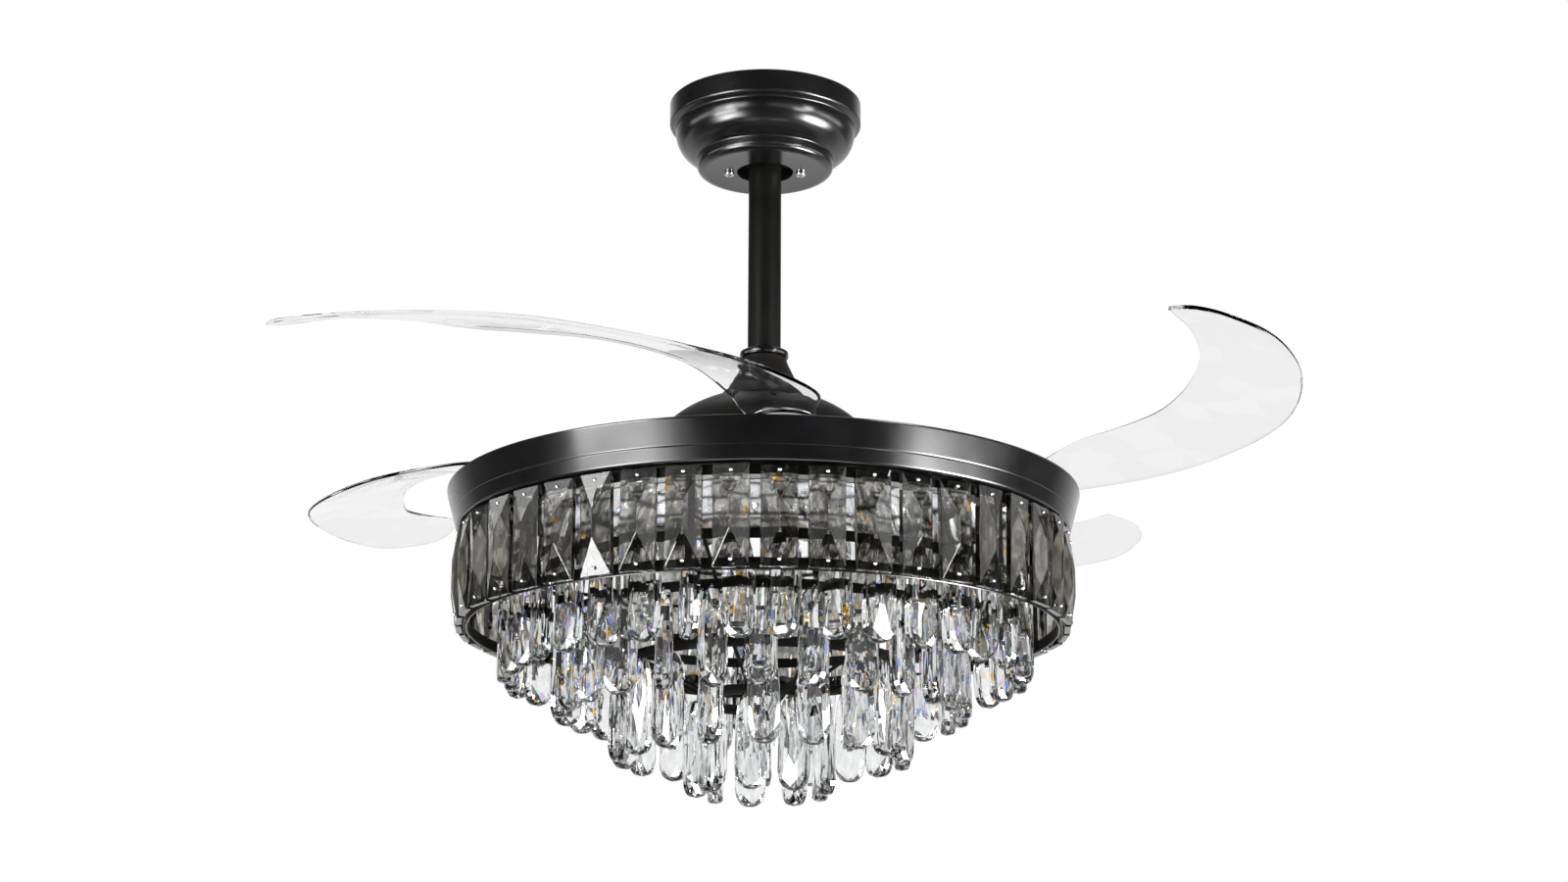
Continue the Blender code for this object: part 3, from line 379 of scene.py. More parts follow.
# Each finish: what makes it, and what that is given
looks = {
    "satin_black": (coated_metal, (0.0016, 0.0016, 0.0018), (0.0028, 0.0028, 0.0031), (0.15, 0.20), 0.50),
    "soft_black": (coated_metal, (0.0055, 0.0052, 0.0048), (0.0085, 0.0081, 0.0075), (0.42, 0.52), 0.10),
    "canopy_black": (coated_metal, (0.0022, 0.0022, 0.0023), (0.0036, 0.0036, 0.0038), (0.19, 0.23), 0.50),
    "rod_black": (coated_metal, (0.0024, 0.0023, 0.0021), (0.0040, 0.0039, 0.0036), (0.36, 0.44), 0.05),
    "zinc_steel": (bare_metal, (0.50, 0.51, 0.53), (0.66, 0.67, 0.69), (0.22, 0.36), (1, 1, 30), 60.0),
    "bright_chrome": (bare_metal, (0.76, 0.77, 0.79), (0.86, 0.87, 0.89), (0.04, 0.10), (1, 1, 1), 80.0),
    # The winding's first colour is the painted shade in the grooves between turns, the second the copper
    # itself
    "copper_winding": (wound_copper, (0.28, 0.10, 0.04), (0.62, 0.28, 0.13)),
    "magnet_grey": (bare_metal, (0.07, 0.07, 0.075), (0.13, 0.13, 0.14), (0.45, 0.60), (1, 1, 1), 300.0),
    "white_plastic": (plastic, (0.74, 0.74, 0.72), (0.80, 0.80, 0.79), (0.40, 0.50), 900.0),
    "black_plastic": (plastic, (0.014, 0.014, 0.014), (0.024, 0.024, 0.024), (0.42, 0.55), 900.0),
    "opal_plastic": (plastic, (0.74, 0.74, 0.73), (0.80, 0.80, 0.78), (0.25, 0.35), 400.0),
    "clear_acrylic": (clear_glass, acrylic_stops, 1.09, (0.00, 0.03), 40.0, (1, 1, 1), 0.02),
    # The smoke glass's cells are drawn out upright, so its painted orange glints read as thin streaks
    "smoke_glass": (clear_glass, smoke_tint_and_glint_stops, 1.54, (0.00, 0.010), 230.0, (1, 1, 0.55), 0.02,
                    None, ((0.10, 0.08, 0.0), 82.0)),
    # The crystal's last four numbers raise the cell value near the top and lower it further down, so the
    # painted colour glints sit on the upper drops and none on the lowest
    "clear_crystal": (clear_glass, crystal_tint_and_glint_stops, 1.62, (0.00, 0.01), 300.0, (1, 1, 0.55), 0.008,
                      (-0.530, -0.400, -0.130, 0.045))}
finishes = {name: make(name, *look) for name, (make, *look) in looks.items()}


# Mesh helpers
def new_mesh(name, shape):
    mesh = bpy.data.meshes.new(name)
    bmesh.ops.recalc_face_normals(shape, faces=shape.faces)
    shape.to_mesh(mesh)
    shape.free()
    return mesh


def add_piece(name, mesh, finish, body, replaced=(), sharp_degrees=32):
    """A finished piece that rides on a body and stands for the CAD nodes it replaces."""
    piece = bpy.data.objects.new(name, mesh)
    bpy.context.scene.collection.objects.link(piece)
    mesh.materials.clear()
    mesh.materials.append(finishes[finish])
    if sharp_degrees:
        mesh.shade_smooth()
        mesh.set_sharp_from_angle(angle=math.radians(sharp_degrees))
    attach(piece, body)
    if replaced:
        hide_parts(*replaced)
    return piece


def rounded(profile, radius, steps=3):
    """A closed outline with each corner replaced by a short curve."""
    result = []
    count = len(profile)
    for i, corner in enumerate(profile):
        corner = Vector(corner)
        before, after = Vector(profile[i - 1]), Vector(profile[(i + 1) % count])
        if corner.x == 0:
            result.append(tuple(corner))
            continue
        reach = min(radius, (before - corner).length * 0.45, (after - corner).length * 0.45)
        start = corner + (before - corner).normalized() * reach
        end = corner + (after - corner).normalized() * reach
        for k in range(steps + 1):
            t = k / steps
            result.append(tuple(start * (1 - t) ** 2 + corner * 2 * t * (1 - t) + end * t ** 2))
    return result


def ring_profile(outer, inner, top, foot, corner, steps=3):
    """Outline of a flat ring or disc with rounded corners."""
    return rounded([(outer, top), (outer, foot), (inner, foot), (inner, top)], corner, steps)


def curve_points(points, per_span):
    """Points on a Catmull-Rom curve through the given ones."""
    points = [Vector(p) for p in points]
    count = (len(points) - 1) * per_span + 1
    result = []
    for i in range(count):
        t = i / per_span
        k = min(int(t), len(points) - 2)
        f = t - k
        a, b = points[max(k - 1, 0)], points[k]
        c, d = points[k + 1], points[min(k + 2, len(points) - 1)]
        result.append(0.5 * (2 * b + (c - a) * f + (2 * a - 5 * b + 4 * c - d) * f ** 2
                             + (3 * b - a - 3 * c + d) * f ** 3))
    return result


def join_rings(shape, first, second):
    """Faces between two closed rings with the same number of vertices."""
    count = len(first)
    for i in range(count):
        j = (i + 1) % count
        shape.faces.new((first[i], first[j], second[j], second[i]))


def turned(name, profile, steps):
    """A closed outline of (radius, height) turned about Z; points on the axis become one vertex."""
    shape = bmesh.new()
    rings = []
    for radius, height in profile:
        if radius < 1e-7:
            rings.append([shape.verts.new((0, 0, height))])
        else:
            rings.append([shape.verts.new(polar(radius, 2 * math.pi * i / steps, height))
                          for i in range(steps)])
    for low, high in zip(rings, rings[1:] + rings[:1]):
        if len(low) == 1 and len(high) == 1:
            continue
        for i in range(steps):
            j = (i + 1) % steps
            corners = [low[i % len(low)], low[j % len(low)], high[j % len(high)], high[i % len(high)]]
            unique = list(dict.fromkeys(corners))
            if len(unique) > 2:
                shape.faces.new(unique)
    return new_mesh(name, shape)


def tube(shape, points, radius, sides=8, closed=False):
    """A round wire along points, added to a bmesh."""
    points = [Vector(p) for p in points]
    rings = []
    count = len(points)
    side = None
    for i, point in enumerate(points):
        if closed:
            run = points[(i + 1) % count] - points[i - 1]
        else:
            run = points[min(i + 1, count - 1)] - points[max(i - 1, 0)]
        run.normalize()
        if side is None:
            side = run.orthogonal().normalized()
        side = (side - run * side.dot(run)).normalized()
        up = run.cross(side)
        rings.append([shape.verts.new(point + radius * (side * math.cos(a) + up * math.sin(a)))
                      for a in (2 * math.pi * k / sides for k in range(sides))])
    pairs = list(zip(rings, rings[1:])) + ([(rings[-1], rings[0])] if closed else [])
    for low, high in pairs:
        join_rings(shape, low, high)
    if not closed:
        shape.faces.new(rings[0])
        shape.faces.new(rings[-1])


def ring_strip(shape, radius, low, high, sheet, steps=160):
    """An upright hoop with its sheet inward of the radius."""
    profile = ring_profile(radius, radius - sheet, high, low, sheet * 0.3, 2)
    rings = [[shape.verts.new(polar(r, 2 * math.pi * i / steps, z)) for i in range(steps)]
             for r, z in profile]
    for low_ring, high_ring in zip(rings, rings[1:] + rings[:1]):
        join_rings(shape, low_ring, high_ring)


def moved(mesh, matrix):
    copy = mesh.copy()
    copy.transform(matrix)
    return copy


def add_mesh(shape, mesh, matrix):
    """A copy of a mesh in a bmesh, moved by the matrix."""
    copy = moved(mesh, matrix)
    shape.from_mesh(copy)
    bpy.data.meshes.remove(copy)


def box(shape, size, matrix):
    bmesh.ops.create_cube(shape, size=1.0, matrix=matrix @ Matrix.Diagonal((*size, 1)))


def carve(mesh, cutter_mesh):
    """The mesh with a closed cutter taken out of it."""
    base = bpy.data.objects.new("carved", mesh)
    cutter = bpy.data.objects.new("cutter", cutter_mesh)
    for item in (base, cutter):
        bpy.context.scene.collection.objects.link(item)
    hole = base.modifiers.new("hole", "BOOLEAN")
    hole.operation = "DIFFERENCE"
    hole.solver = "EXACT"
    hole.object = cutter
    graph = bpy.context.evaluated_depsgraph_get()
    result = bpy.data.meshes.new_from_object(base.evaluated_get(graph))
    bpy.data.objects.remove(base)
    bpy.data.objects.remove(cutter)
    return result


# Canopy
canopy_side = ((0.0006, canopy_top), (0, canopy_top - 0.0006), (0, canopy_top - 0.0012), (0, -0.0170),
               (0, -0.0176), (0.0006, -0.0188), (0.0018, -0.0194))
canopy_belly = ((0.0744, -0.0203), (0.0736, -0.0215), (0.0738, -0.0250), (0.0731, -0.0300),
                (0.0716, -0.0345), (0.0690, -0.0390), (0.0650, -0.0430), (0.0605, -0.0459),
                (0.0578, -0.0470))
canopy_step = ((0.0567, -0.0473), (0.0563, -0.0477), (0.0561, -0.0485), (0.0560, -0.0515),
               (0.0558, -0.0543), (0.0549, -0.0565), (0.0530, -0.0580), (0.0500, canopy_foot),
               (0.0490, canopy_foot))
canopy_inside = ((0.0450, -0.0575), (0.0500, -0.0566), (0.0538, -0.0535), (0.0548, -0.0490),
                 (0.0590, -0.0450), (0.0640, -0.0415), (0.0680, -0.0375), (0.0708, -0.0330),
                 (0.0722, -0.0250), (0.0724, -0.0190), (0.0772, -0.0182))
screw_profile = ((0, screw_top), (0.0039, screw_top), (0.0040, screw_top - 0.0003),
                 (0.0040, screw_top - 0.0014), (0.0036, screw_top - 0.0021), (0.0029, screw_foot),
                 (0, screw_foot))


def make_canopy():
    profile = [(canopy_radius - inset, height) for inset, height in canopy_side]
    profile += [(0.0756, -0.0196), *curve_points(canopy_belly, 5), *curve_points(canopy_step, 4)]
    profile += [(canopy_hole_radius + 0.0004, canopy_foot), (canopy_hole_radius, canopy_foot + 0.0004),
                (canopy_hole_radius, canopy_foot + 0.0010), *canopy_inside,
                (canopy_radius - canopy_sheet, canopy_top)]
    add_piece("canopy_shell", turned("canopy_shell", profile, 160), "canopy_black", "ceiling_mount",
              ["canopy"], 40)
    head = turned("screw_head", screw_profile, 32)
    for turn in (screw_turn, screw_turn + math.pi / 2):
        slot = bmesh.new()
        box(slot, screw_slot, Matrix.Translation((0, 0, screw_foot)) @ Matrix.Rotation(turn, 4, "Z"))
        head = carve(head, new_mesh("slot", slot))
    shape = bmesh.new()
    shape.from_mesh(head)
    tube(shape, [(0, 0, screw_top), (0, 0, screw_top + 0.0060)], 0.0018, 16)
    screw = new_mesh("canopy_screw", shape)
    for side, label in ((-1, "left"), (1, "right")):
        place = Matrix.Translation((side * screw_spread, 0, 0))
        add_piece(f"canopy_screw_head_{label}", moved(screw, place), "zinc_steel", "ceiling_mount",
                  [f"canopy_screw_{label}"], 12)


# Rod, collar and cover
cover_shares = ((0.0, 0.03), (0.04, 0.12), (0.19, 0.30), (0.42, 0.55), (0.66, 0.75), (1.0, 1.0))


def make_coupling():
    rod = ring_profile(rod_radius, rod_radius - rod_wall, rod_top, rod_foot, 0.0004)
    add_piece("rod_tube", turned("rod_tube", rod, 96), "rod_black", "lamp", ["downrod"])
    bore = rod_radius + fit_gap
    collar = ring_profile(collar_radius, bore, collar_top, collar_top - collar_height, 0.0012)
    add_piece("rod_collar", turned("rod_collar", collar, 96), "satin_black", "lamp", ["coupling_collar"])
    flare = cover_foot_radius - cover_top_radius
    outer = curve_points([(cover_top_radius + flare * out, cover_top - cover_height * down)
                          for out, down in cover_shares], 5)
    inside = [(r - cover_sheet, z) for r, z in reversed(outer)]
    profile = [(bore, cover_top), (cover_top_radius - 0.0006, cover_top), *outer,
               (cover_foot_radius - cover_sheet, cover_top - cover_height), *inside[1:-1],
               (bore, cover_top - 0.0016)]
    add_piece("coupling_cone", turned("coupling_cone", profile, 96), "soft_black", "lamp",
              ["coupling_cover"], 40)


# Motor housing
dome_shares = ((0.40, 0.000), (0.48, 0.036), (0.57, 0.089), (0.70, 0.190), (0.82, 0.325), (0.92, 0.515),
               (0.98, 0.720), (1.00, 0.930), (1.00, 1.000))


def make_motor():
    drop = dome_top - dome_foot
    outer = curve_points([(dome_radius * out, dome_top - drop * down) for out, down in dome_shares], 5)
    inner = [(r - dome_sheet * (0.35 + 0.65 * r / dome_radius), z - 0.0012 * (1 - r / dome_radius))
             for r, z in reversed(outer)]
    profile = [(dome_hole_radius, dome_top), *outer, *inner[:-1], (dome_hole_radius, dome_top - dome_sheet)]
    shell = turned("motor_shell", profile, 144)
    vents = bmesh.new()
    for k in range(vent_count):
        turn = Matrix.Rotation(2 * math.pi * (k + 0.25) / vent_count, 4, "Z")
        points = [(vent_radius + s * vent_reach + vent_round * math.cos(a), vent_round * math.sin(a))
                  for s, first in ((1, -90), (-1, 90))
                  for a in (math.radians(first + 180 * i / 8) for i in range(9))]
        low = [vents.verts.new(turn @ Vector((x, y, dome_top - 0.030))) for x, y in points]
        high = [vents.verts.new(turn @ Vector((x, y, dome_top + 0.010))) for x, y in points]
        vents.faces.new(low)
        vents.faces.new(high)
        join_rings(vents, low, high)
    shell = carve(shell, new_mesh("vents", vents))
    add_piece("motor_shell", shell, "soft_black", "rotor", ["motor_dome"], 40)


# Plate under the blades
def plate_outline():
    spread_angle = math.acos((plate_radius ** 2 + pivot_radius ** 2 - lobe_radius ** 2)
                             / (2 * plate_radius * pivot_radius))
    reach = math.pi - math.acos((pivot_radius ** 2 + lobe_radius ** 2 - plate_radius ** 2)
                                / (2 * pivot_radius * lobe_radius))
    points = []
    for k in range(blade_count):
        angle = pivot_angle + math.pi / 2 * k
        middle = polar(pivot_radius, angle)
        for i in range(33):
            points.append((middle + polar(lobe_radius, angle + reach * (2 * i / 32 - 1)))[:2])
        gap = math.pi / 2 - 2 * spread_angle
        for i in range(1, 24):
            points.append(polar(plate_radius, angle + spread_angle + gap * i / 24)[:2])
    return points


def slab(shape, points, low, high, chamfer=0.0003):
    """A flat plate with chamfered edges from an outline, added to a bmesh."""
    middle = Vector((0, 0))
    for p in points:
        middle += Vector(p)
    middle /= len(points)
    levels = ((low, chamfer), (low + chamfer, 0.0), (high - chamfer, 0.0), (high, chamfer))
    rings = []
    for height, shrink in levels:
        ring = []
        for p in points:
            away = Vector(p) - middle
            away = away * (1 - shrink / away.length)
            ring.append(shape.verts.new((*(middle + away), height)))
        rings.append(ring)
    for below, above in zip(rings, rings[1:]):
        join_rings(shape, below, above)
    for ring in (rings[0], rings[-1]):
        shape.faces.new(ring)


def make_plate():
    shape = bmesh.new()
    slab(shape, plate_outline(), plate_top - plate_sheet, plate_top)
    for k in range(blade_count):
        foot = polar(pivot_radius, pivot_angle + math.pi / 2 * k, plate_middle)
        tube(shape, [foot, (foot.x, foot.y, cap_foot - fit_gap)], post_radius, 32)
    add_piece("pivot_plate", new_mesh("pivot_plate", shape), "zinc_steel", "rotor", ["blade_plate"])
    inside = base_radius - base_wall
    base = [(base_radius, base_rim), (base_radius, base_foot), (base_hole_radius, base_foot),
            (base_hole_radius, base_floor), (0.0700, base_floor), (0.0704, -0.2890), (0.0736, -0.2890),
            (0.0740, base_floor), (inside, base_floor), (inside, base_rim)]
    add_piece("motor_pan", turned("motor_pan", rounded(base, 0.0006), 144), "soft_black", "rotor",
              ["motor_base"])


# Blades
root_degrees = (158, 122, 90)
outer_shares = (
    (0.088, 0.062, 0.00), (0.199, 0.049, 0.00), (0.360, -0.075, 0.00), (0.470, -0.230, 0.02),
    (0.545, -0.420, 0.10), (0.557, -0.590, 0.20), (0.510, -0.790, 0.30), (0.418, -0.951, 0.42),
    (0.320, -1.000, 0.62), (0.262, -0.990, 0.78), (0.232, -0.940, 0.93))
inner_shares = (
    (0.070, -0.092, 0.00), (0.117, -0.117, 0.14), (0.188, -0.186, 0.42), (0.262, -0.270, 0.50),
    (0.318, -0.380, 0.53), (0.338, -0.500, 0.55), (0.340, -0.620, 0.60), (0.330, -0.720, 0.74),
    (0.290, -0.820, 0.88), (0.248, -0.880, 0.97), (0.226, -0.908, 1.00))
blade_spans = 5
blade_strips = 28
blade_ribs = (0.30, 0.64)
blade_rib_width = 0.0016
blade_rib_height = 0.0003
bead_width = 0.003
bead_slope = 0.004
thinning = 0.22


def blade_edge(shares, side):
    root = [polar(seat_radius, math.radians(a) * side) for a in root_degrees]
    strip = [Vector((x * blade_reach, y * blade_reach, z * blade_rise)) for x, y, z in shares]
    return curve_points(root + strip, blade_spans)


def bored(mesh, radius, middle, sides):
    """The mesh with a round hole along Z, 10 mm up and down from the middle height."""
    bore = bmesh.new()
    bmesh.ops.create_cone(bore, cap_ends=True, segments=sides, radius1=radius, radius2=radius,
                          depth=0.02, matrix=Matrix.Translation((0, 0, middle)))
    return carve(mesh, new_mesh("bore", bore))


def blade_mesh():
    """Clear crescent with bead edges and two shallow ribs along its length."""
    outer, inner = blade_edge(outer_shares, 1), blade_edge(inner_shares, -1)
    flat = len(root_degrees) / (len(root_degrees) + len(outer_shares) - 1)
    shape = bmesh.new()
    tops, feet = [], []
    count = len(outer)
    for i in range(count):
        along = max(0.0, (i / (count - 1) - flat) / (1 - flat))
        swell = math.sin(math.pi * along) ** 2 * blade_crown
        width = (outer[i] - inner[i]).length
        top_row, foot_row = [], []
        for j in range(blade_strips + 1):
            share = 0.5 - 0.5 * math.cos(math.pi * j / blade_strips)
            point = outer[i].lerp(inner[i], share)
            point.z = max(0.0, point.z) + swell * 4 * share * (1 - share)
            edge = min(share, 1 - share) * width
            bead = math.sqrt(max(0.0, 1 - (1 - min(edge / (blade_sheet / 2), 1.0)) ** 2))
            inward = min(1.0, max(0.0, (edge - bead_width) / bead_slope))
            half = blade_sheet / 2 * bead * (1.0 - thinning * inward * min(1.0, along * 8))
            rib = sum(math.exp(-((share - r) * width / blade_rib_width) ** 2) for r in blade_ribs)
            ribbed = half + blade_rib_height * rib * min(1.0, along * 6) * bead
            middle = Vector((0, 0, blade_foot + blade_sheet / 2))
            top_row.append(shape.verts.new(point + middle + Vector((0, 0, min(ribbed, blade_sheet / 2)))))
            if 0 < j < blade_strips:
                foot_row.append(shape.verts.new(point + middle - Vector((0, 0, half))))
            else:
                foot_row.append(top_row[-1])
        tops.append(top_row)
        feet.append(foot_row)
    for rows in (tops, feet):
        for low, high in zip(rows, rows[1:]):
            for j in range(blade_strips):
                shape.faces.new((low[j], high[j], high[j + 1], low[j + 1]))
    for end in (0, -1):
        shape.faces.new(tops[end] + feet[end][-2:0:-1])
    return bored(new_mesh("blade", shape), post_radius + 0.0006, blade_foot, 32)


def tooth_outline(teeth, sector, phase):
    """Gear outline with teeth between the sector's two angles and a circle at their root elsewhere."""
    first, last = sector
    pitch = 2 * math.pi / teeth
    middle = teeth * gear_module / 2
    root, tip = middle - gear_module * 1.15, middle + gear_module * 0.85
    half = pitch / 4 - 0.00035 / middle
    lean = math.tan(math.radians(20)) / middle
    wide, narrow = half + (middle - root) * lean, half - (tip - middle) * lean
    points = []
    for k in range(teeth):
        angle = phase + k * pitch
        if (angle - first) % (2 * math.pi) <= (last - first) % (2 * math.pi):
            for radius, offset in ((root, -wide), (tip, -narrow), (tip, 0), (tip, narrow), (root, wide)):
                points.append(polar(radius, angle + offset)[:2])
        else:
            points += [polar(root, angle + pitch * (i / 4 - 0.5))[:2] for i in range(4)]
    return points


def hub_mesh():
    """Hub cast in one: toothed sector, sleeve and the disc that the blade lies on."""
    spare = 2 * math.pi / hub_teeth
    outline = tooth_outline(hub_teeth, (math.pi - spare, math.pi * 1.5 + spare),
                            math.pi + math.pi / hub_teeth)
    gear = bmesh.new()
    slab(gear, outline, hub_gear_foot, hub_gear_top, 0.0002)
    gear_mesh = bored(new_mesh("gear", gear), hub_bore_radius, hub_gear_top, 48)
    disc = rounded([(seat_radius, seat_top), (seat_radius, seat_foot), (sleeve_radius, seat_foot),
                    (sleeve_radius, hub_gear_top - 0.002), (hub_bore_radius, hub_gear_top - 0.002),
                    (hub_bore_radius, seat_top)], 0.0004)
    shape = bmesh.new()
    shape.from_mesh(gear_mesh)
    shape.from_mesh(turned("sleeve", disc, 64))
    return new_mesh("hub", shape)


def cap_mesh():
    top = cap_foot + cap_height
    profile = [(0, top), (0.0050, top), (0.0054, top - 0.0004), (0.0060, top - 0.0004), (0.0064, top),
               (0.0170, top - 0.0001), (0.0205, top - 0.0005), (0.0228, top - 0.0012),
               (cap_radius, top - 0.0020), (cap_radius, cap_foot + 0.0002),
               (cap_radius - 0.0002, cap_foot), (0, cap_foot)]
    return turned("cap", profile, 64)


def spring_mesh():
    shape = bmesh.new()
    radius = sleeve_radius + spring_wire_radius + fit_gap
    first, last = hub_gear_top + 0.0009, seat_foot - 0.0009
    count = spring_turns * spring_steps
    points = [polar(radius, 2 * math.pi * i / spring_steps, first + (last - first) * i / count)
              for i in range(count + 1)]
    tube(shape, points, spring_wire_radius * 0.9, 8)
    return new_mesh("spring", shape)


def make_blades():
    blade, hub, cap, spring = blade_mesh(), hub_mesh(), cap_mesh(), spring_mesh()
    for k in range(blade_count):
        angle = pivot_angle + math.pi / 2 * k
        place = Matrix.Translation(polar(pivot_radius, angle)) @ Matrix.Rotation(angle, 4, "Z")
        body = f"blade_arm_{k + 1}"
        for mesh, name, finish, node, sharp_degrees in (
                (blade, f"blade_leaf_{k + 1}", "clear_acrylic", f"blade_{k + 1}", 12),
                (cap, f"blade_washer_{k + 1}", "bright_chrome", f"blade_cap_{k + 1}", 32),
                (spring, f"torsion_spring_{k + 1}", "zinc_steel", f"return_spring_{k + 1}", 32),
                (hub, f"toothed_hub_{k + 1}", "zinc_steel", f"blade_hub_{k + 1}", 32)):
            add_piece(name, moved(mesh, place), finish, body, [node], sharp_degrees)


# Drum band, tray and diffuser
diffuser_line = ((0, 0), (0.060, 0.0003), (0.110, 0.0011), (0.148, 0.0027), (0.168, 0.0056),
                 (0.1762, 0.0095), (tray_radius, 0.0130))


def band_profile():
    """Leaning wall with a groove round it, and inside it a lip at the foot and a flange."""
    lean = (drum_radius - drum_foot_radius) / drum_height
    foot, seam = rim_z - drum_height, rim_z - drum_height * 0.64

    def wall(height, inward=0.0):
        return drum_radius - lean * (rim_z - height) - inward

    profile = [(wall(rim_z, 0.0011), rim_z), (wall(rim_z, 0.0003), rim_z - 0.0003)]
    for height, inward in ((rim_z - 0.0012, 0), (rim_z - 0.0020, 0), (seam + 0.0010, 0), (seam + 0.0004, 0),
                           (seam, 0.00015), (seam - 0.0004, 0), (seam - 0.0010, 0), (foot + 0.0022, 0),
                           (foot + 0.0012, 0)):
        profile.append((wall(height, inward), height))
    profile += [(wall(foot, 0.0004), foot + 0.0003), (wall(foot, 0.0012), foot),
                (lip_radius + 0.0003, foot), (lip_radius, foot + 0.0003), (lip_radius, foot + 0.0013),
                (lip_radius + 0.0003, foot + drum_sheet)]
    for height in (foot + drum_sheet, flange_top - drum_sheet):
        profile.append((wall(height, drum_sheet), height))
    profile += [(flange_radius + 0.0003, flange_top - drum_sheet), (flange_radius, flange_top - 0.0013),
                (flange_radius, flange_top - 0.0003), (flange_radius + 0.0003, flange_top),
                (wall(flange_top, drum_sheet), flange_top), (wall(rim_z, drum_sheet), rim_z - 0.0004)]
    return profile


def make_drum():
    add_piece("band", turned("band", band_profile(), 256), "satin_black", "lamp", ["drum_band"])

    shape = bmesh.new()
    shape.from_mesh(turned("disc", ring_profile(tray_radius, 0, tray_top, tray_foot, 0.0005), 144))
    for k in range(3):
        start = polar(standoff_place, 2 * math.pi * k / 3, tray_top - 0.0005)
        tube(shape, [start, start + Vector((0, 0, standoff_height))], standoff_radius, 24)
    add_piece("light_tray", new_mesh("light_tray", shape), "white_plastic", "lamp", ["led_tray"])

    outer = curve_points([(r, diffuser_foot + rise) for r, rise in diffuser_line], 4)
    inner = [(max(0.0, r - diffuser_sheet), z + 0.0018) for r, z in reversed(outer)]
    inner[-1] = (0.0, diffuser_foot + diffuser_sheet)
    profile = [*outer, (tray_radius, diffuser_top), (tray_radius - diffuser_sheet, diffuser_top), *inner]
    add_piece("light_diffuser", turned("light_diffuser", profile, 144), "opal_plastic", "lamp",
              ["led_diffuser"])

    plate = ring_profile(mirror_out, mirror_in, mirror_foot + mirror_sheet, mirror_foot, 0.0002)
    add_piece("mirror_plate", turned("mirror_plate", plate, 180), "bright_chrome", "lamp")


# Smoke prisms
def prism_mesh():
    """Upright bar facing +X, cut to an X whose arms meet in a short upright ridge."""
    half_width, half_length = prism_width / 2, prism_length / 2
    points = [(x, y * half_width, z * half_length)
              for x in (-prism_back, prism_edge) for y in (-1, 1) for z in (-1, 1)]
    points += [(prism_front, 0, z * prism_apex) for z in (-1, 1)]
    shape = bmesh.new()
    for point in points:
        shape.verts.new(point)
    bmesh.ops.convex_hull(shape, input=shape.verts)
    bmesh.ops.dissolve_limit(shape, angle_limit=math.radians(1), verts=shape.verts, edges=shape.edges)
    bmesh.ops.bevel(shape, geom=shape.edges, offset=0.00035, segments=1, affect="EDGES", profile=0.5)
    return new_mesh("prism", shape)


def make_prisms():
    draw = random.Random(11)
    step = 2 * math.pi / prism_count
    front = -math.pi / 2 + prism_phase
    prism = prism_mesh()
    pins = bmesh.new()
    outward = Matrix.Translation((prism_radius, 0, prism_top - prism_length / 2))
    for group in range(prism_count // prism_group):
        shape = bmesh.new()
        for k in range(group * prism_group, (group + 1) * prism_group):
            tilt = Matrix.Rotation(draw.gauss(0, prism_tilt), 4, "Y")
            tilt = tilt @ Matrix.Rotation(draw.gauss(0, prism_turn), 4, "Z")
            place = Matrix.Rotation(front + k * step, 4, "Z") @ outward
            add_mesh(shape, prism, place @ tilt)
            for end in (-1, 1):
                z = end * (prism_length / 2 - pin_inset)
                tube(pins, [place @ Vector((x, 0, z)) for x in (-prism_back - 0.0012, 0.0034)], pin_radius)
                bmesh.ops.create_uvsphere(pins, u_segments=16, v_segments=10, radius=pin_head,
                                          matrix=Matrix.Translation(place @ Vector((0.0030, 0, z))))
        add_piece(f"smoke_bars_{group + 1}", new_mesh("smoke_bars", shape), "smoke_glass", "lamp",
                  [f"smoke_prisms_{group + 1}"], 0)
    add_piece("prism_pins", new_mesh("prism_pins", pins), "bright_chrome", "lamp")


# Frame, hoops and drops
def rib_route():
    """Radius and height along a stepped rib, from the foot ring over each hoop and on to the middle."""
    route = []
    steps = list(zip(tier_radii, tier_tops))
    for (radius, top), (next_radius, next_top) in zip(steps, steps[1:] + steps[-1:]):
        slope = (top - next_top) / max(1e-6, radius - next_radius)
        route.append((radius, top + fit_gap + rib_radius * math.hypot(1, slope) + slope * 0.001))
    return [(foot_ring_radius - 0.0010, route[0][1]), *route, (tier_radii[-1] * 0.85, route[-1][1])]


def make_frame():
    shape = bmesh.new()
    ring_strip(shape, frame_top_radius - 0.0012, frame_top - frame_ring_height, frame_top,
               frame_sheet, ring_steps)
    ring_strip(shape, foot_ring_radius, prism_foot + 0.0004, prism_foot + foot_ring_height,
               foot_sheet, ring_steps)
    low, high = prism_foot + 0.001, frame_top - frame_ring_height / 2
    post = Matrix.Translation((foot_ring_radius - 0.0010, 0, (low + high) / 2))
    for k in range(rib_count):
        angle = rib_phase + math.pi / 3 * k
        box(shape, (*frame_post, high - low), Matrix.Rotation(angle, 4, "Z") @ post)
        tube(shape, [polar(r, angle, z) for r, z in rib_route()], rib_radius, 12)
    add_piece("crystal_cage", new_mesh("crystal_cage", shape), "rod_black", "lamp", ["crystal_frame"])
    edge = bmesh.new()
    hoop = [polar(foot_ring_radius - 0.0006, 2 * math.pi * i / ring_steps, prism_foot + 0.0003)
            for i in range(ring_steps)]
    tube(edge, hoop, foot_wire, closed=True)
    add_piece("foot_wire", new_mesh("foot_wire", edge), "satin_black", "lamp")


# Outline of a drop, as shares of its length and of its half width
drop_girdle = ((0.00, 0.40), (0.06, 0.66), (0.16, 0.84), (0.30, 0.94), (0.46, 0.99), (0.62, 1.00),
               (0.80, 1.00), (0.87, 0.94), (0.92, 0.83), (0.96, 0.66), (0.985, 0.44), (0.997, 0.20))
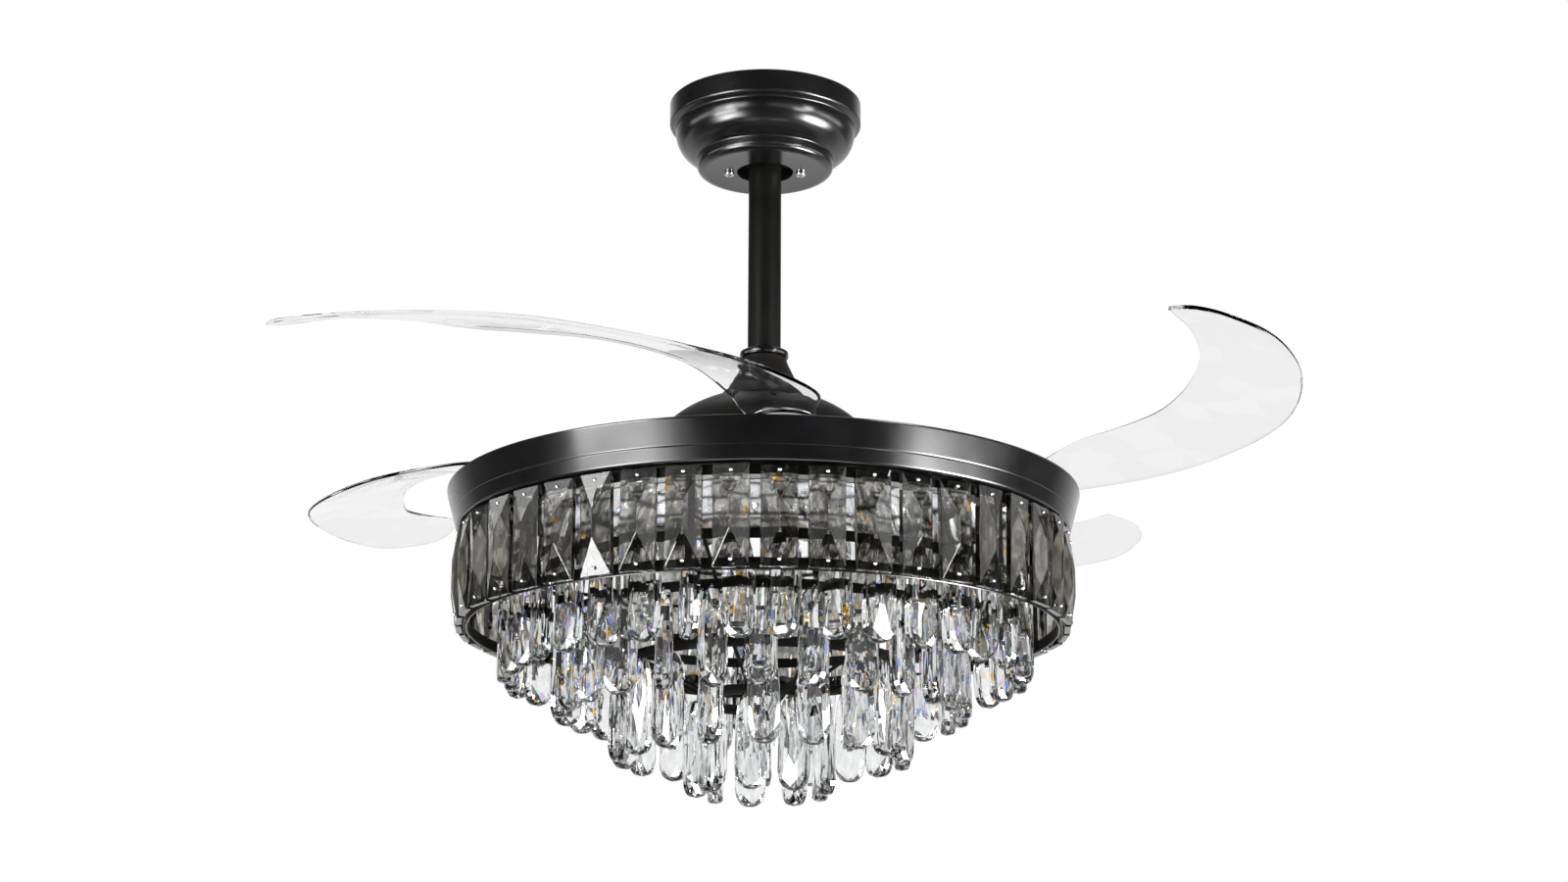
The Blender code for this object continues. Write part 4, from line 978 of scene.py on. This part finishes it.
# Corners of its facets, as shares of its half thickness, half width and length
drop_face = ((0.66, -0.24, 0.010), (0.66, 0.24, 0.010), (0.93, -0.36, 0.24), (0.93, 0.36, 0.24),
             (1.00, 0.00, 0.54), (0.915, -0.54, 0.880), (0.915, 0.54, 0.880), (0.885, 0.00, 0.965))


def drop_mesh():
    """Cut pendant with nearly straight sides and a round foot, long facets and a thick girdle."""
    half, thick = drop_width / 2, drop_thickness / 2
    shape = bmesh.new()
    for face in (-1, 1):
        for down, across in drop_girdle:
            for side in (-1, 1):
                shape.verts.new((face * thick * girdle_thickness, side * across * half * girdle_width,
                                 -(down * 0.985 + 0.003) * drop_length))
        for out, across, down in drop_face:
            shape.verts.new((face * out * thick, face * across * half, -down * drop_length))
    for down, across in drop_girdle:
        for side in (-1, 1):
            shape.verts.new((0, side * across * half, -down * drop_length))
    bmesh.ops.convex_hull(shape, input=shape.verts)
    loose = [v for v in shape.verts if not v.link_faces]
    bmesh.ops.delete(shape, geom=loose, context="VERTS")
    bmesh.ops.dissolve_limit(shape, angle_limit=math.radians(1.0), verts=shape.verts, edges=shape.edges)
    return new_mesh("drop", shape)


def make_tiers():
    draw = random.Random(5)
    drop = drop_mesh()
    for index, (radius, top, count) in enumerate(zip(tier_radii, tier_tops, tier_drops)):
        hoop, drops, hooks = bmesh.new(), bmesh.new(), bmesh.new()
        low = top - tier_height
        ring_strip(hoop, radius + tier_sheet / 2, low, top, tier_sheet, 160)
        for k in range(count):
            angle = 2 * math.pi * (k + 0.5) / count
            turn = angle + draw.gauss(0, drop_wander) if draw.random() < facing_share else drop_turn * k
            hang = polar(radius, angle, low + hook_place)
            swing = Matrix.Rotation(draw.gauss(0, drop_swing), 4, "X")
            swing = swing @ Matrix.Rotation(draw.gauss(0, drop_swing), 4, "Y")
            add_mesh(drops, drop, Matrix.Translation(hang) @ Matrix.Rotation(turn, 4, "Z") @ swing)
            outward = Matrix.Rotation(angle, 3, "Z")
            loop = [Vector((hook_half_width * math.cos(a), 0, hook_half_height * math.sin(a)))
                    for a in (2 * math.pi * i / 14 for i in range(14))]
            tube(hooks, [hang + outward @ point for point in loop], hook_wire, 6, closed=True)
        add_piece(f"tier_hoop_{index + 1}", new_mesh("tier_hoop", hoop), "rod_black", "lamp")
        add_piece(f"tier_hooks_{index + 1}", new_mesh("tier_hooks", hooks), "bright_chrome", "lamp")
        add_piece(f"tier_drops_{index + 1}", new_mesh("tier_drops", drops), "clear_crystal", "lamp",
                  [f"crystal_tier_{index + 1}"], 0)


# Finishes of the CAD nodes that stay in view; those not named here are zinc_steel
node_slots = {"motor_stator": "copper_winding", "magnet_ring": "magnet_grey",
              "remote_receiver": "white_plastic", "hanger_ball": "black_plastic",
              "led_driver": "black_plastic", "drum_carrier": "satin_black"}


def finish_nodes():
    for name, node in nodes.items():
        if node.hide_render:
            continue
        for slot in node.material_slots:
            slot.material = finishes[node_slots.get(name, "zinc_steel")]


# Floor, light and camera
floor_z = -1.75
floor_radius = 9.0


def floor_material():
    """Pale to the camera, whiter through clear stock, and dark in mirrors except towards the back."""
    material, tree, shader = new_material("pale_floor")
    place = place_coordinates(tree)
    path = tree.nodes.new("ShaderNodeLightPath").outputs
    along = add_node(tree, "SeparateXYZ", {"Vector": place}).outputs["Y"]
    from_front = map_range(tree, along, -4.0, 6.0)
    set_inputs(tree, shader, {
        "Base Color": two_tone(tree, noise(tree, place, 3.0), grey(0.80), grey(0.82)), "Roughness": 0.9})
    dark = add_node(tree, "BsdfPrincipled", {
        "Base Color": colour_ramp(tree, from_front, ((0.35, grey(0.03)), (0.75, grey(0.80)))),
        "Roughness": 0.9})
    lit = mixed(tree, path["Is Glossy Ray"], shader.outputs["BSDF"], dark.outputs["BSDF"])
    behind = colour_ramp(tree, from_front, ((0.52, grey(0.0)), (0.68, grey(0.9))))
    seen = maths(tree, "MULTIPLY", path["Is Camera Ray"], 0.5)
    through = maths(tree, "MULTIPLY", path["Is Transmission Ray"], 0.6)
    mirrored = maths(tree, "MULTIPLY", path["Is Glossy Ray"], behind)
    share = maths(tree, "ADD", maths(tree, "ADD", seen, through), mirrored)
    white = tree.nodes.new("ShaderNodeEmission").outputs["Emission"]
    set_inputs(tree, tree.nodes["Material Output"], {"Surface": mixed(tree, share, lit, white)})
    return material


def make_floor():
    shape = bmesh.new()
    bmesh.ops.create_circle(shape, cap_ends=True, segments=96, radius=floor_radius,
                            matrix=Matrix.Translation((0, 0, floor_z)))
    mesh = new_mesh("floor", shape)
    floor = bpy.data.objects.new("floor", mesh)
    bpy.context.scene.collection.objects.link(floor)
    mesh.materials.append(floor_material())


def make_world():
    """White to the camera, graded by depth in mirrors and by height through clear stock, else dim."""
    world = bpy.data.worlds.new("studio")
    world.use_nodes = True
    bpy.context.scene.world = world
    tree = world.node_tree
    tree.nodes.clear()
    path = tree.nodes.new("ShaderNodeLightPath").outputs
    source = tree.nodes.new("ShaderNodeTexCoord").outputs["Generated"]
    split = add_node(tree, "SeparateXYZ", {"Vector": source}).outputs

    def background(colour, strength=1.0):
        return add_node(tree, "Background", {"Color": colour, "Strength": strength}).outputs["Background"]

    through = colour_ramp(tree, map_range(tree, split["Z"], -1.0, 1.0), (
        (0.0, grey(1.0)), (0.64, grey(1.0)), (0.80, grey(0.75)), (1.0, grey(0.50))))
    mirrored = colour_ramp(tree, map_range(tree, split["Y"], -1.0, 1.0), (
        (0.0, grey(0.015)), (0.60, grey(0.04)), (0.80, grey(0.13)), (0.93, grey(0.80)), (1.0, grey(1.0))))
    shown = background((0.95, 0.97, 1.0, 1.0), 0.35)
    for ray, colour in (("Is Glossy Ray", mirrored), ("Is Transmission Ray", through),
                        ("Is Camera Ray", (1.0, 1.0, 1.0, 1.0))):
        shown = mixed(tree, path[ray], shown, background(colour))
    add_node(tree, "OutputWorld", {"Surface": shown})


# A key lamp is a stack of four, each smaller than the one before: width, height and radiance
key_layers = ((2.10, 0.90, 0.9), (1.55, 0.76, 3.9), (1.05, 0.60, 7.0), (0.60, 0.45, 7.0))
key_elevation = -19
# Side, azimuth and gain of the two keys
keys = (("left", -50, 1.6), ("right", 71, 5.2))
# Name, azimuth, elevation, distance, width, height and radiance of the other lamps
lamps = (
    ("core_left", -51, -0.5, 2.2, 1.15, 0.52, 18.0), ("core_right", 44, 6.0, 2.2, 0.60, 0.26, 16.0),
    ("side_left", -68, 12, 2.2, 1.50, 0.30, 0.9), ("side_left_front", -26, 12, 2.2, 1.00, 0.30, 0.6),
    ("side_right", 68, 12, 2.2, 1.60, 0.30, 1.8), ("side_right_front", 24, 12, 2.2, 1.50, 0.30, 1.6),
    ("high_left", -43, 26, 1.0, 0.66, 0.18, 9.0), ("high_left_side", -84, 23, 0.95, 0.60, 0.16, 3.0),
    ("high_left_core", -43, 26, 0.96, 0.16, 0.18, 14.0), ("high_right", 53, 26, 1.0, 0.16, 0.15, 22.0),
    ("high_right_side", 86, 23, 0.95, 0.66, 0.16, 4.0), ("under_fill", 0, -68, 1.25, 1.2, 1.2, 2.6),
    ("back_fill", 180, 62, 2.4, 1.6, 1.0, 1.5))
lamp_target = Vector((0, 0, -0.40))


def softbox(name, azimuth, elevation, distance, width, height, radiance):
    """A rectangular lamp, seen at these angles in degrees from the target that it faces.

    Azimuth 0 is the side of the camera, and it grows towards the camera's right.
    """
    a, e = math.radians(azimuth), math.radians(elevation)
    away = Vector((math.sin(a) * math.cos(e), -math.cos(a) * math.cos(e), math.sin(e)))
    light = bpy.data.lights.new(name, "AREA")
    light.shape = "RECTANGLE"
    light.size, light.size_y = width, height
    light.energy = radiance * math.pi * width * height
    lamp = bpy.data.objects.new(name, light)
    lamp.location = lamp_target + away * distance
    lamp.rotation_euler = away.to_track_quat("Z", "Y").to_euler()
    lamp.visible_camera = False
    lamp.visible_transmission = False
    bpy.context.scene.collection.objects.link(lamp)


def make_lights():
    for side, azimuth, gain in keys:
        for k, (width, height, radiance) in enumerate(key_layers):
            softbox(f"key_{side}_{k + 1}", azimuth, key_elevation, 2.30 - 0.02 * k, width, height,
                    radiance * gain)
    for lamp in lamps:
        softbox(*lamp)


def make_camera():
    data = bpy.data.cameras.new("camera")
    data.sensor_width = sensor_width
    data.lens = camera_focal_pixels / image_width * sensor_width
    data.shift_x = (image_width / 2 - camera_middle_pixel) / image_width
    camera = bpy.data.objects.new("camera", data)
    turn = Matrix.Rotation(math.pi / 2 + camera_pitch, 4, "X") @ Matrix.Rotation(camera_roll, 4, "Z")
    camera.matrix_world = Matrix.Translation(camera_place) @ turn
    bpy.context.scene.collection.objects.link(camera)
    bpy.context.scene.camera = camera


make_canopy()
make_coupling()
make_motor()
make_plate()
make_blades()
make_drum()
make_prisms()
make_frame()
make_tiers()
finish_nodes()
make_floor()
make_world()
make_lights()
make_camera()
bpy.context.scene.view_settings.view_transform = "Standard"
